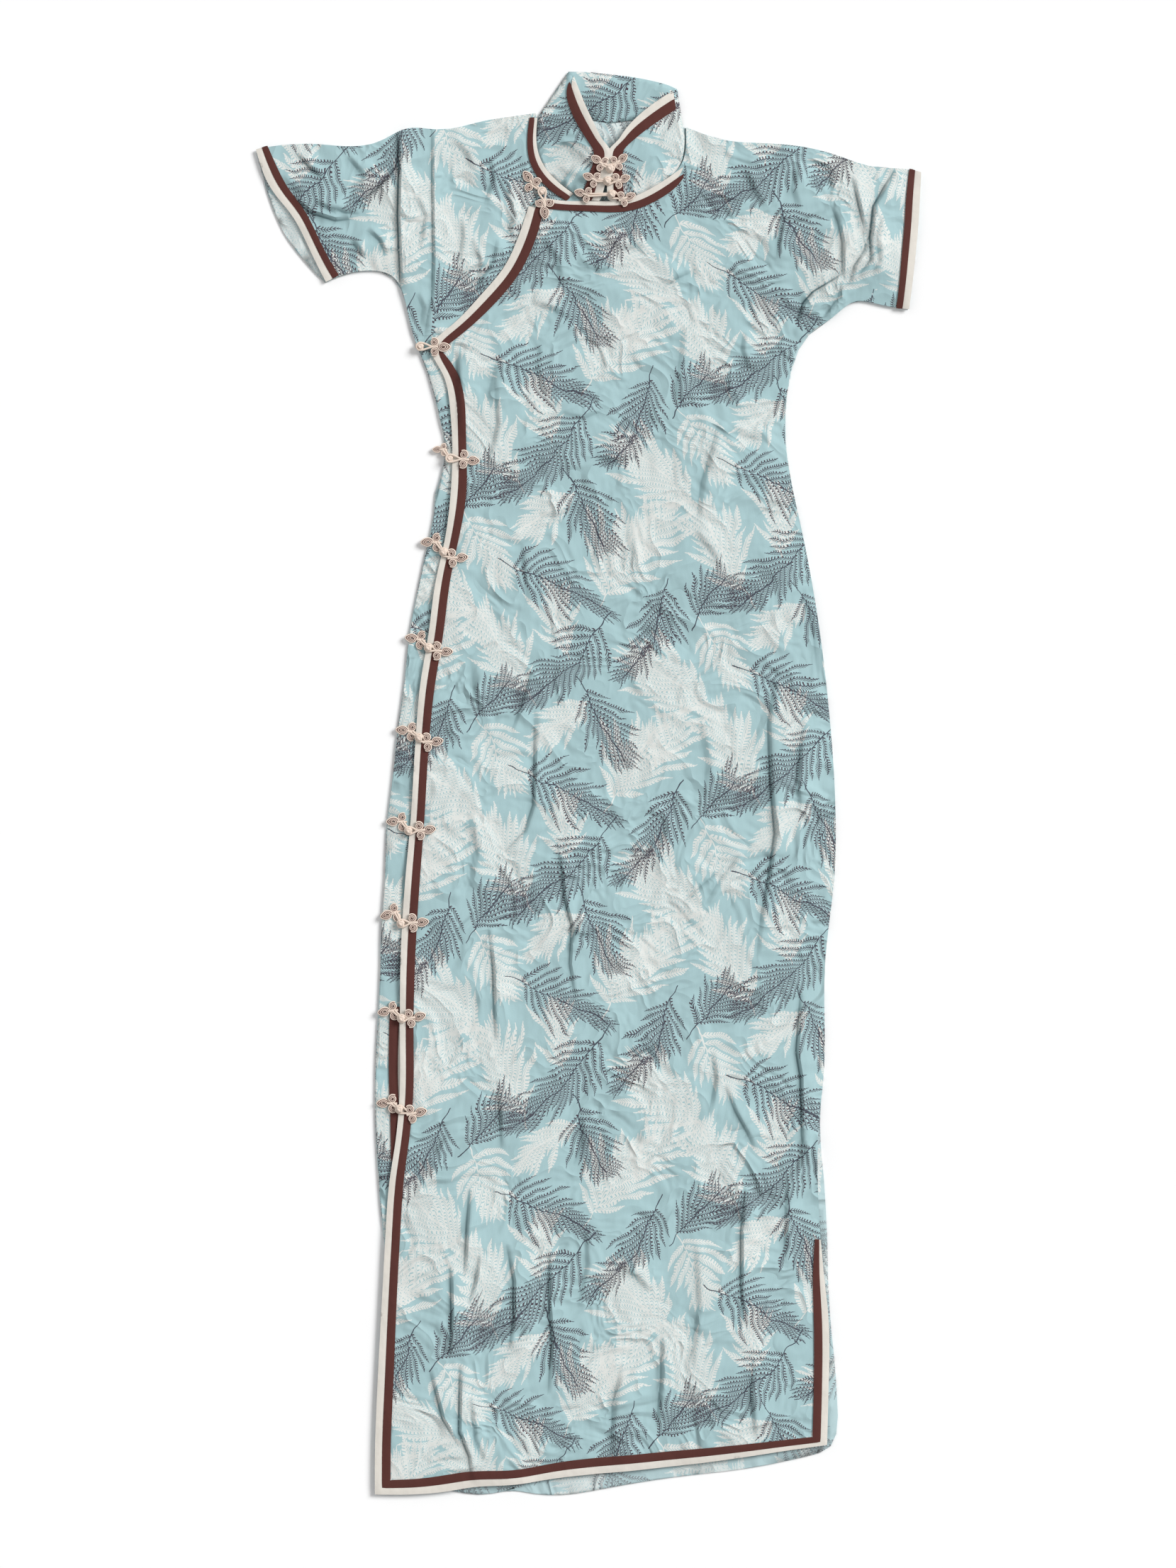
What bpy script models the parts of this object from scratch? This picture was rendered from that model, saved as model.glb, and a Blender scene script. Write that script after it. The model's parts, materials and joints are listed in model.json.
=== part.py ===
"""A cheongsam laid flat on its back, in metres, +Z up: the back panel on the surface, the small
overlap piece and the front on it, the stand collar, the bias trims and thirteen coiled frogs.

X runs across the dress and Y up it, and the origin is under the middle of the whole garment.
The tables are in millimetres. Run it with: blender --background --python part.py
"""

import math

import bmesh
import bpy
from mathutils import Vector
from mathutils.bvhtree import BVHTree
from mathutils.geometry import delaunay_2d_cdt
from mathutils.kdtree import KDTree

MM = 0.001

# The middle of the whole garment in the tables below, mm
MIDDLE = Vector((-1.5, -0.25, 0.0))

# Walls and clearances, mm
CLOTH = 1.2
COLLAR_WALL = 1.5
TRIM = 0.6
GAP = 0.3

# The height of each layer's lower side, mm: the back lies on the surface, the side flap and
# the small overlap piece on the back, the front on both.
SEAM_LEVEL = CLOTH + GAP
UNDER_LEVEL = CLOTH + 2 * GAP
FRONT_LEVEL = UNDER_LEVEL + CLOTH + GAP

# How far in from a seam a front layer reaches its level, and its folds their height, mm
SEAM_TO_LEVEL = 11.0
SEAM_TO_FOLDS = 24.0
# Where the overlap piece's folds start and end, out from the opening's edge, mm
OPENING_TO_FOLDS = (-6.0, 10.0)

# Mesh spacing, mm, and how near an edge, in shares of the spacing, a panel has no inner point
EDGE_STEP = 13.0
SEAM_STEP = 4.0
SIDE_STEP = 19.0
EDGE_MARGIN = 0.62
FRONT_GRID = (18.0, 32.0)
OVERLAP_GRID = (18.0, 22.0)
BACK_GRID = (75.0, 75.0)

# Share of a two-colour trim that its cream binding takes
BINDING_SHARE = 0.58

FINISHES = {
    # name: colour, roughness
    "printed_cloth": ((0.36, 0.60, 0.62, 1.0), 0.75),
    "brown_band": ((0.11, 0.026, 0.020, 1.0), 0.80),
    "cream_binding": ((0.80, 0.75, 0.67, 1.0), 0.80),
    "frog_cord": ((0.74, 0.62, 0.53, 1.0), 0.70),
}

# Edges with no trim: x, y
SHOULDER_LEFT = (
    (-50, 614.5), (-101, 607), (-141, 598), (-155, 602), (-176, 600), (-188, 589),
    (-210, 584), (-262, 587), (-296, 584),
)
SHOULDER_RIGHT = (
    (88, 601.5), (123, 589), (163, 587), (201, 583), (233, 574), (260, 564), (268, 565.5),
    (277, 563), (286, 565), (293, 563),
)
UNDERARM_LEFT = (
    (-231, 466), (-215, 470), (-192, 471), (-178, 468), (-171, 452), (-167, 430), (-163, 412),
    (-157, 398),
)
UNDERARM_RIGHT = (
    (281, 436), (260, 440), (245, 446), (238, 443), (231, 435), (215, 420.5), (198, 415),
    (189, 401),
)
SIDE_RIGHT = (
    (189, 401), (180, 358), (178, 318), (185, 273), (196, 223), (210, 143), (217, 86),
    (225, -29), (225, -70), (215, -165), (214, -270), (209, -312),
)
SLIT_BACK_RIGHT = (
    (209, -312), (213, -347), (217, -410), (219, -480), (225, -540), (228, -600),
)
HEM_BACK = (
    (224, -611), (149, -627), (74, -636), (24, -644), (-13, -651), (-38, -653), (-66, -648),
    (-79, -646), (-88, -652), (-115, -651), (-128, -647), (-160, -646), (-189, -644),
)
EDGE_BACK_LEFT = ((-189, -638), (-188, -580), (-186, -520), (-185, -470), (-186, -440))
CUFF_BACK_LEFT = (
    (-306, 578), (-302, 564), (-295, 539), (-286, 515), (-276, 496), (-262, 480), (-251, 465),
    (-243, 459),
)

# Edges with a two-colour trim: edge x, edge y, and the trim's inner side x, y
CLOSURE = (
    (-56, 529, -44, 526), (-62, 510, -48.5, 505.5), (-69.5, 490, -56.5, 485),
    (-79.5, 470, -69, 462.5), (-98, 450, -88.5, 440), (-115, 430, -108, 421),
    (-129, 417, -122, 409.5), (-147, 405.5, -138.5, 397.5),
)
FRONT_LEFT = (
    (-149, 396, -137, 396), (-131, 371, -120, 374), (-128, 346, -115, 348),
    (-126, 318, -115, 318), (-127, 270, -114, 268), (-133, 221, -122, 222),
    (-141, 188, -129, 190), (-148, 134, -136, 134), (-155, 95, -143, 94),
    (-160, 35, -149, 35), (-164, -33, -153, -33), (-169, -87, -157, -86),
    (-173, -150, -161, -150), (-174, -220, -163, -220), (-174, -285, -163, -285),
    (-178, -330, -167, -328), (-184, -365, -172, -362), (-187, -410, -175, -410),
    (-190, -465, -178, -465), (-194, -540, -181, -540), (-197, -620, -184, -616),
    (-197, -638, -184, -632),
)
HEM_FRONT = (
    (-190, -651, -181, -639), (-160, -651, -155, -638), (-128, -648, -124, -633),
    (-105, -643, -106, -630), (-79, -643, -78, -631), (-26, -635, -26, -622),
    (49, -628, 48, -615), (124, -619, 123, -608), (185, -610, 181, -602),
    (207, -607, 200, -600),
)
SLIT_FRONT_RIGHT = (
    (217, -598, 205, -594), (218, -560, 206, -560), (218, -485, 206, -485),
    (214, -452, 205, -452), (211, -418, 207, -418),
)
CUFF_RIGHT = (
    (303, 560, 293, 563), (302, 540, 290, 540), (301, 518, 289, 518), (298, 485, 286, 485),
    (294, 450, 283, 450), (292, 435, 281, 436),
)
CUFF_LEFT = (
    (-306, 581, -296, 584), (-298, 554, -286, 561), (-289, 539, -277, 543),
    (-274, 524, -263, 528), (-262, 501, -251, 503), (-251, 477, -240, 480),
    (-242, 460, -231, 466),
)
NECK_FRONT = (
    (-45, 537, -43, 528.5), (-33, 534.3, -34, 527), (-20, 532.3, -19, 525.5),
    (-8, 533.8, -8, 526), (7, 533.2, 7, 525), (22, 532.4, 23, 523.5),
    (40, 536.4, 44, 526.5), (56, 544.4, 61, 535), (70, 553.4, 77, 545), (85, 564.4, 91, 556),
)
NECK_OVERLAP = (
    (-48.6, 610, -54.5, 609.5), (-50, 598, -56.5, 597), (-50.8, 585, -57.5, 583),
    (-45.7, 567.6, -54.5, 565), (-35.5, 555.4, -44, 551), (-24.3, 546.4, -32, 540.5),
    (-15.5, 540.4, -22, 535.2),
)

# The left side, where the back's edge is turned over on to the front. x of the fold, y, and x
# of the band, the binding and the edge itself on the turned flap
SIDE_FLAP = (
    (-157, 397, -150, -144, -138), (-148, 375, -140, -132, -124), (-137, 330, -130, -124, -117),
    (-131, 300, -127, -122, -118), (-142, 266, -134, -126, -117), (-143, 247, -135, -127, -118),
    (-151, 210, -143, -134, -126), (-158, 178, -150, -141, -133), (-166, 135, -157, -147, -138),
    (-170, 95, -162, -154, -146), (-176, 53, -167, -158, -149), (-181, 5, -172, -162, -153),
    (-187, -45, -177, -166, -156), (-188, -85, -179, -169, -160), (-191, -125, -181, -171, -162),
    (-193, -185, -182.5, -173.5, -165), (-195, -225, -183.5, -176, -167.5),
    (-197, -267, -184, -177, -168), (-197, -305, -182.5, -175.5, -168),
    (-195, -345, -182, -176, -170), (-191, -400, -186, -181, -176), (-188, -425, -185, -182, -179),
)
SLIT_TRIM_TOP = -208
SLIT_TRIM_END = -350
SLIT_TRIM_SIDE = -152
# How far beyond the trim's top, end and side the front starts to rise over it
SLIT_TRIM_RUN_IN = (40, 30, 12)

# Where the right slit starts in the front's edge, and the neck's right corner: x, y
SLIT_TOP = ((208, -335), (208.5, -371))
NECK_CORNER = ((88.5, 575), (88.5, 590))

# The overlap piece's edge that the front hides: x, y. It reaches down the side to OVERLAP_FOOT
OVERLAP_FOOT = 150
OVERLAP_HIDDEN = (
    (-110, 155), (-75, 165), (-62, 250), (-55, 350), (-45, 430), (-30, 500), (-15, 518), (-9, 534.5),
)

# The collar, from its left front edge round to its right one. Each row is a line up it: foot x,
# y, z, then top x, y, z. The first and last three rows are the edge, binding and band.
COLLAR_LEFT = (
    (7, 533.9, 4.4, 18.2, 579, 9.5), (0, 534.6, 4.2, 13.5, 585, 9.6),
    (-7.9, 536.7, 3.8, 9.5, 591, 9.5), (-24, 547, 3.2, 3, 605, 8.8),
    (-35, 556, 2.9, -3, 617, 7.6), (-45, 568, 2.8, -8, 629, 6.2),
    (-50, 585, 2.8, -12, 640, 4.6), (-48.6, 600, 2.9, -15, 648, 3.4),
)
COLLAR_FOLD_LEFT = ((-46.5, 612, 2.0, -19.3, 652.3, 2.0),)
COLLAR_BACK = (
    (-42, 612.5, 0.75, -14, 652.8, 0.75), (-20, 612.5, 0.75, -2, 652.4, 0.75),
    (2, 608.5, 0.75, 14, 650.6, 0.75), (19, 604.5, 0.75, 37, 648, 0.75),
    (41, 609.5, 0.75, 56, 644.5, 0.75), (62, 608, 0.95, 68, 641.5, 0.9),
    (82, 603.5, 2.3, 76.5, 639, 0.95),
)
COLLAR_FOLD_RIGHT = ((86.6, 580, 3.4, 79.5, 635, 2.4),)
COLLAR_RIGHT = (
    (84, 565.3, 4.4, 76, 634.5, 4.2), (70, 554, 4.4, 64, 627, 5.6), (56, 545, 4.4, 52, 618, 7.2),
    (40, 537, 4.4, 38, 606, 8.6), (34, 535.3, 4.4, 31, 597, 9.1), (28, 534, 4.4, 26, 589, 9.4),
    (22, 533, 4.4, 21.6, 580.5, 9.5),
)
COLLAR_SHARES = (0.0, 0.26, 0.52, 0.76, 0.885, 1.0)
# The front halves bow up by this much where their foot lies between these two heights
COLLAR_BULGE = 1.6
COLLAR_BOWED = (2.6, 4.0)
# How far the back's neckline runs below the collar's foot, and where it starts: x, y
NECKLINE_DROP = 1.0
NECKLINE_START = (-49.5, 610.5)
# A sloping wall is this much thicker straight up through it, at most
SLOPED_WALL = 1.25

# Largest folds: from x, y to x, y, height, half-width
FOLDS_FRONT = (
    (205, -185, 206, -345, 3.6, 13), (150, -120, 152, -600, 3.4, 17), (96, -150, 104, -615, 3.0, 16),
    (62, -200, 66, -400, 2.6, 15), (22, -120, 34, -620, 3.2, 17), (-22, -20, -26, -310, 2.4, 15),
    (-55, -250, -67, -640, 3.4, 15), (-92, -180, -98, -420, 2.6, 14),
    (-128, -300, -120, -620, 3.2, 15), (128, -420, 130, -610, 2.6, 14), (-4, -380, -14, -630, 2.8, 14),
    (178, 60, 184, -160, 2.4, 16), (102, 240, 124, 335, 3.6, 17), (60, 60, 90, 210, 2.2, 20),
    (5, 305, 50, 302, 2.0, 12), (-95, 335, -70, 380, 2.4, 14), (-118, 20, -128, -150, 2.0, 15),
    (262, 548, 258, 470, 5.0, 13), (238, 560, 247, 508, 3.6, 12), (240, 478, 196, 432, 4.4, 13),
    (214, 500, 222, 460, 3.0, 12), (120, 545, 150, 500, 2.2, 16), (-20, 480, 20, 500, 2.0, 16),
)
FOLDS_OVERLAP = (
    (-165, 592, -166, 446, 3.6, 11), (-186, 574, -212, 532, 3.0, 11), (-262, 572, -240, 548, 2.4, 11),
    (-258, 532, -226, 514, 3.0, 11), (-212, 506, -196, 492, 2.4, 11), (-142, 575, -142, 440, 2.2, 12),
    (-104, 560, -92, 520, 2.0, 14),
)
# Between two frogs the front's side edge stands up off the flap
EDGE_LIFT = 2.2
EDGE_LIFT_REACH = 13.0

# The frogs: knob x, y, then for the knob's half and for the loop's the middle of its pair of
# round coils from the knob, the turn in degrees of its leaf, anticlockwise from straight
# outwards, and its size, 0 where its coils are out of sight round the edge
FROGS = {
    "neck": (-44, 542.5, -8.4, 6.2, -55, 1.0, 2.3, -10.7, -88, 1.0),
    "collar_top": (18.5, 563, -7.1, 3.5, -36, 0.84, 5.5, 4.5, 40, 0.84),
    "collar_middle": (16, 551.5, -11.1, 0.7, -24, 0.84, 8.7, -0.1, 20, 0.84),
    "collar_foot": (20, 539.5, -22.3, -0.7, -16, 0.84, 9.6, -4.4, 22, 0.84),
    "side_1": (-155.5, 400.5, -4.5, 0.5, 0, 0, 12.8, -0.5, 0, 1.0),
    "side_2": (-128.5, 298, -5.5, 8.0, 0, 0.7, 12.5, -1.0, -6, 1.0),
    "side_3": (-134, 212, -6.5, 9, 0, 1.0, 7.5, -5.5, 5, 1.0),
    "side_4": (-148, 124.5, -7, 7, -10, 1.0, 7.6, -3, -2, 1.0),
    "side_5": (-156.5, 42, -7, 5.5, -8, 1.0, 7.2, -4, 6, 1.0),
    "side_6": (-166, -43, -6.0, 8, 0, 1.0, 10, 0, 8, 1.0),
    "side_7": (-173, -128, -5.0, 10, 18, 1.0, 10.5, 0.5, 6, 1.0),
    "side_8": (-172.5, -215, -7.5, 7, 8, 1.0, 7.5, 0, 14, 1.0),
    "side_9": (-174.5, -298, -6.5, 5, 0, 1.0, 10.5, -4.5, 14, 1.0),
}
COIL = 3.8
COIL_PITCH = 8.2
COIL_RISE = 2.4
COIL_CROWN = (1.15, 0.35)
LEAF_OUT = 8.0
LEAF_LENGTH = 6.0
LEAF_WIDTH = 3.8
KNOB = 2.8
KNOB_RISE = 4.6
KNOB_CROWN = (1.0, 0.55)
STEM = 1.9
STEM_RISE = 1.8
LOOP_ROOM = 0.8
# How far round a place a frog clears what lies under it, and a height above everything, mm
FROG_REACH = 5.5
HIGH = 100.0
CORNERS = 8
CORNER_TURN = 0.37
SHARP_DEGREES = 50


class Sheet:
    """A surface: its points, at each the way its wall grows, its faces and each face's stretch."""

    def __init__(self):
        self.points, self.ways, self.faces, self.stretches = [], [], [], []

    def add(self, point, way):
        self.points.append(Vector(point))
        self.ways.append(Vector(way))
        return len(self.points) - 1

    def cover(self, corners, stretch):
        self.faces.append(corners)
        self.stretches.append(stretch)


def along(rows, step=EDGE_STEP):
    """A smooth line through the rows, whose first two columns are its x and y, in even steps."""
    chords = [math.dist(a[:2], b[:2]) for a, b in zip(rows, rows[1:])]

    def slope(i, column):
        if i == 0 or i == len(chords):
            j = min(i, len(chords) - 1)
            return (rows[j + 1][column] - rows[j][column]) / chords[j]
        before = (rows[i][column] - rows[i - 1][column]) / chords[i - 1]
        after = (rows[i + 1][column] - rows[i][column]) / chords[i]
        return (before * chords[i] + after * chords[i - 1]) / (chords[i - 1] + chords[i])

    line = []
    for i, chord in enumerate(chords):
        count = max(1, round(chord / step))
        for k in range(count):
            t = k / count
            line.append(tuple(
                (2 * t**3 - 3 * t**2 + 1) * rows[i][c]
                + (t**3 - 2 * t**2 + t) * chord * slope(i, c)
                + (3 * t**2 - 2 * t**3) * rows[i + 1][c]
                + (t**3 - t**2) * chord * slope(i + 1, c)
                for c in range(len(rows[0]))
            ))
    line.append(tuple(float(value) for value in rows[-1]))
    return line


def edge_of(trimmed):
    return [row[:2] for row in trimmed]


def strips_of(name, trimmed):
    """The closed outlines of the binding and of the band along a trimmed edge."""
    edge = edge_of(trimmed)
    inner = [row[2:4] for row in trimmed]
    middle = [Vector(a).lerp(Vector(b), BINDING_SHARE) for a, b in zip(edge, inner)]
    return {name + "_binding": edge + middle[::-1], name + "_band": middle + inner[::-1]}


def nearest(points):
    tree = KDTree(len(points))
    for i, point in enumerate(points):
        tree.insert((point[0], point[1], 0), i)
    tree.balance()
    return tree


def ease(share):
    share = min(max(share, 0.0), 1.0)
    return share * share * (3 - 2 * share)


def fold_rise(folds, x, y):
    """How far the folds lift the cloth at a place: each is a soft ridge along its line."""
    rise = 0.0
    for x0, y0, x1, y1, height, width in folds:
        run = Vector((x1 - x0, y1 - y0))
        share = (Vector((x - x0, y - y0))).dot(run) / run.length_squared
        share = min(max(share, 0.0), 1.0)
        off = math.dist((x, y), (x0 + share * run.x, y0 + share * run.y))
        rise += height * math.exp(-((off / width) ** 2))
    return rise


def anticlockwise(rim):
    """The corners of an outline, in the order that the triangulation reads as a filled one."""
    area = sum(a[0] * b[1] - b[0] * a[1] for a, b in zip(rim, [*rim[1:], rim[0]]))
    return list(rim) if area > 0 else list(rim)[::-1]


def filled(outlines, inside):
    """Triangles over the outlines, with further points inside them.

    Gives the points, the triangles, and for each triangle the outlines that it lies in.
    """
    flat, rims = [], []
    for outline in outlines:
        rims.append(list(range(len(flat), len(flat) + len(outline))))
        flat += [Vector(place[:2]) for place in anticlockwise(outline)]
    points, _, faces, _, _, origins = delaunay_2d_cdt(flat + inside, [], rims, 1, 0.01)
    held = [(tuple(corners), inside_of) for corners, inside_of in zip(faces, origins) if inside_of]
    return points, [corners for corners, _ in held], [inside_of for _, inside_of in held]


def flat_sheet(outline, strips, grid, height):
    """A panel cut to an outline, with the outlines of its trims, and its points set at a height."""
    rims = [outline, *strips.values()]
    tree = nearest([place for rim in rims for place in rim])
    across, down = grid
    columns = range(
        math.floor(min(p[0] for p in outline) / across), math.ceil(max(p[0] for p in outline) / across)
    )
    rows = range(
        math.floor(min(p[1] for p in outline) / down), math.ceil(max(p[1] for p in outline) / down)
    )
    inside = []
    for row in rows:
        for column in columns:
            x, y = (column + 0.5 * (row % 2)) * across, row * down
            if tree.find((x, y, 0))[2] > EDGE_MARGIN * across:
                inside.append(Vector((x, y)))
    points, faces, origins = filled(rims, inside)
    names = ["cloth", *strips]
    sheet = Sheet()
    for point in points:
        sheet.add((point.x, point.y, height(point.x, point.y)), (0, 0, 1))
    for corners, held_by in zip(faces, origins):
        sheet.cover(corners, names[max(held_by)])
    return sheet


def finish(name):
    if name not in bpy.data.materials:
        colour, roughness = FINISHES[name]
        made = bpy.data.materials.new(name)
        made.use_nodes = True
        shader = made.node_tree.nodes["Principled BSDF"]
        shader.inputs["Base Color"].default_value = colour
        shader.inputs["Roughness"].default_value = roughness
        shader.inputs["Metallic"].default_value = 0.0
    return bpy.data.materials[name]


def wall(name, sheet, stretches, start, end, material):
    """One closed solid over some stretches of a sheet, from one distance along its ways to another.

    The end is a number, or a list with a number for each point.
    """
    bm = bmesh.new()
    number = bm.verts.layers.int.new("number")
    made = {}
    for corners, stretch in zip(sheet.faces, sheet.stretches):
        if stretch not in stretches:
            continue
        for i in corners:
            if i not in made:
                made[i] = bm.verts.new(sheet.points[i] + sheet.ways[i] * start)
                made[i][number] = i
        bm.faces.new([made[i] for i in corners])
    for item in bmesh.ops.extrude_face_region(bm, geom=bm.faces[:])["geom"]:
        if isinstance(item, bmesh.types.BMVert):
            i = item[number]
            reach = end[i] if isinstance(end, list) else end
            item.co = sheet.points[i] + sheet.ways[i] * reach
    bmesh.ops.recalc_face_normals(bm, faces=bm.faces[:])
    bmesh.ops.translate(bm, vec=-MIDDLE, verts=bm.verts[:])
    bmesh.ops.scale(bm, vec=(MM, MM, MM), verts=bm.verts[:])
    mesh = bpy.data.meshes.new(name)
    bm.to_mesh(mesh)
    bm.free()
    mesh.shade_smooth()
    mesh.set_sharp_from_angle(angle=math.radians(SHARP_DEGREES))
    mesh.materials.append(finish(material))
    made_object = bpy.data.objects.new(name, mesh)
    bpy.data.collections["cheongsam"].objects.link(made_object)


def trims(node, sheet, name, start, end):
    """The cream binding and the brown band along one trimmed edge."""
    wall(node + "_binding", sheet, (name + "_binding",), start, end, "cream_binding")
    wall(node + "_band", sheet, (name + "_band",), start, end, "brown_band")


def stretches_of(sheet):
    return set(sheet.stretches)


def make_back():
    """The back, flat on the surface, with its left side turned over as a flap."""
    radius = (UNDER_LEVEL + CLOTH) / 2
    flap = along(SIDE_FLAP, SIDE_STEP)
    fold = [(row[0] + radius, row[1]) for row in flap]
    neck = [NECKLINE_START] + [(x, y - NECKLINE_DROP) for x, y, *_ in along(COLLAR_BACK[:-1])]
    outline = (
        neck + along(SHOULDER_RIGHT) + edge_of(along(CUFF_RIGHT))
        + along(UNDERARM_RIGHT)[:-1] + along(SIDE_RIGHT, SIDE_STEP)[:-1]
        + along(SLIT_BACK_RIGHT, SIDE_STEP) + along(HEM_BACK)
        + along(EDGE_BACK_LEFT, SIDE_STEP)
        + fold[::-1] + along(UNDERARM_LEFT)[-2::-1] + along(CUFF_BACK_LEFT)[::-1]
        + along(SHOULDER_LEFT)[::-1]
    )
    sheet = flat_sheet(outline, {}, BACK_GRID, lambda x, y: 0.0)
    tree = nearest(sheet.points)
    columns = []
    for (x, y), row in zip(fold, flap):
        column = [tree.find((x, y, 0))[1]]
        for degrees in (45, 90, 135, 180):
            turn = math.radians(degrees)
            place = (x - radius * math.sin(turn), y, radius - radius * math.cos(turn))
            column.append(sheet.add(place, (math.sin(turn), 0, math.cos(turn))))
        for inner in row[2:]:
            column.append(sheet.add((inner, y, 2 * radius), (0, 0, -1)))
        columns.append(column)
    for above, below in zip(columns, columns[1:]):
        trimmed = SLIT_TRIM_END < sheet.points[below[1]].y < SLIT_TRIM_TOP
        last = len(above) - 1
        for j in range(last):
            stretch = {last - 1: "slit_binding", last - 2: "slit_band"}.get(j, "flap")
            corners = (above[j], above[j + 1], below[j + 1], below[j])
            sheet.cover(corners, stretch if trimmed else "flap")
    wall("back_panel", sheet, stretches_of(sheet), 0.0, CLOTH, "printed_cloth")
    trims("back_slit", sheet, "slit", -GAP - TRIM, -GAP)


def make_overlap():
    """The small piece under the opening, with the left sleeve's front."""
    seams = nearest(along(SHOULDER_LEFT, SEAM_STEP) + along(UNDERARM_LEFT, SEAM_STEP))
    cuff = along(CUFF_LEFT)
    neck = along(NECK_OVERLAP)
    side = [(row[4] + GAP, row[1]) for row in along(SIDE_FLAP, SIDE_STEP) if row[1] > OVERLAP_FOOT]
    corner = [(side[0][0], side[0][1] + 2 * GAP)]
    starts, ends = OPENING_TO_FOLDS

    def height(x, y):
        off = seams.find((x, y, 0))[2]
        opening = ease((closure_gap(x, y) - starts) / (ends - starts))
        rise = fold_rise(FOLDS_OVERLAP, x, y) * ease(off / SEAM_TO_FOLDS) * opening
        return SEAM_LEVEL + (UNDER_LEVEL - SEAM_LEVEL) * ease(off / SEAM_TO_LEVEL) + rise

    outline = (
        along(SHOULDER_LEFT) + edge_of(cuff) + along(UNDERARM_LEFT) + corner + side
        + along(OVERLAP_HIDDEN, SIDE_STEP) + edge_of(neck)[::-1]
    )
    strips = {**strips_of("cuff", cuff), **strips_of("neck", neck)}
    sheet = flat_sheet(outline, strips, OVERLAP_GRID, height)
    wall("front_overlap", sheet, stretches_of(sheet), 0.0, CLOTH, "printed_cloth")
    trims("cuff_left", sheet, "cuff", CLOTH + GAP, CLOTH + GAP + TRIM)
    trims("neck_left", sheet, "neck", CLOTH + GAP, CLOTH + GAP + TRIM)


def closure_gap(x, y):
    """How far a place lies outside the diagonal opening edge, mm."""
    edge = [row[:2] for row in CLOSURE]
    (x0, y0), (x1, y1) = edge[-1], edge[0]
    return ((x1 - x0) * (y - y0) - (y1 - y0) * (x - x0)) / math.dist((x0, y0), (x1, y1))


def edge_lift(x, y):
    """How far the front's side edge stands up between two frogs."""
    knobs = [row[:2] for name, row in FROGS.items() if name.startswith("side")]
    for (upper_x, upper_y), (lower_x, lower_y) in zip(knobs, knobs[1:]):
        if lower_y < y <= upper_y:
            share = (upper_y - y) / (upper_y - lower_y)
            edge = upper_x + (lower_x - upper_x) * share
            reach = math.exp(-(max(x - edge, 0.0) / EDGE_LIFT_REACH) ** 2)
            return EDGE_LIFT * math.sin(math.pi * share) ** 4 * reach
    return 0.0


def slit_trim_lift(x, y):
    """How far the front rises over the trim on the turned flap."""
    above, below, beside = SLIT_TRIM_RUN_IN
    top = ease((SLIT_TRIM_TOP + above - y) / SIDE_STEP)
    end = ease((y - SLIT_TRIM_END + below) / SIDE_STEP)
    return (TRIM + GAP) * ease((SLIT_TRIM_SIDE - x) / beside) * top * end


def make_front():
    """The front, with the right sleeve's front, and the trim round its free edges."""
    seams = nearest([
        place for seam in (SHOULDER_RIGHT, UNDERARM_RIGHT, SIDE_RIGHT) for place in along(seam, SEAM_STEP)
    ])
    neck, cuff = along(NECK_FRONT), along(CUFF_RIGHT)
    opening = (
        along(CLOSURE) + along(FRONT_LEFT, SIDE_STEP) + along(HEM_FRONT, SIDE_STEP)
        + along(SLIT_FRONT_RIGHT, SIDE_STEP)
    )

    def height(x, y):
        off = seams.find((x, y, 0))[2]
        rise = fold_rise(FOLDS_FRONT, x, y) * ease(off / SEAM_TO_FOLDS)
        rise += edge_lift(x, y) + slit_trim_lift(x, y)
        return SEAM_LEVEL + (FRONT_LEVEL - SEAM_LEVEL) * ease(off / SEAM_TO_LEVEL) + rise

    outline = (
        edge_of(neck) + list(NECK_CORNER) + along(SHOULDER_RIGHT) + edge_of(cuff)
        + along(UNDERARM_RIGHT)[:-1] + along(SIDE_RIGHT, SIDE_STEP) + list(SLIT_TOP)
        + edge_of(opening)[::-1]
    )
    strips = {**strips_of("opening", opening), **strips_of("cuff", cuff), **strips_of("neck", neck)}
    sheet = flat_sheet(outline, strips, FRONT_GRID, height)
    wall("front_panel", sheet, stretches_of(sheet), 0.0, CLOTH, "printed_cloth")
    trims("front_edge", sheet, "opening", CLOTH + GAP, CLOTH + GAP + TRIM)
    trims("cuff_right", sheet, "cuff", CLOTH + GAP, CLOTH + GAP + TRIM)
    trims("neck_front", sheet, "neck", CLOTH + GAP, CLOTH + GAP + TRIM)


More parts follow.
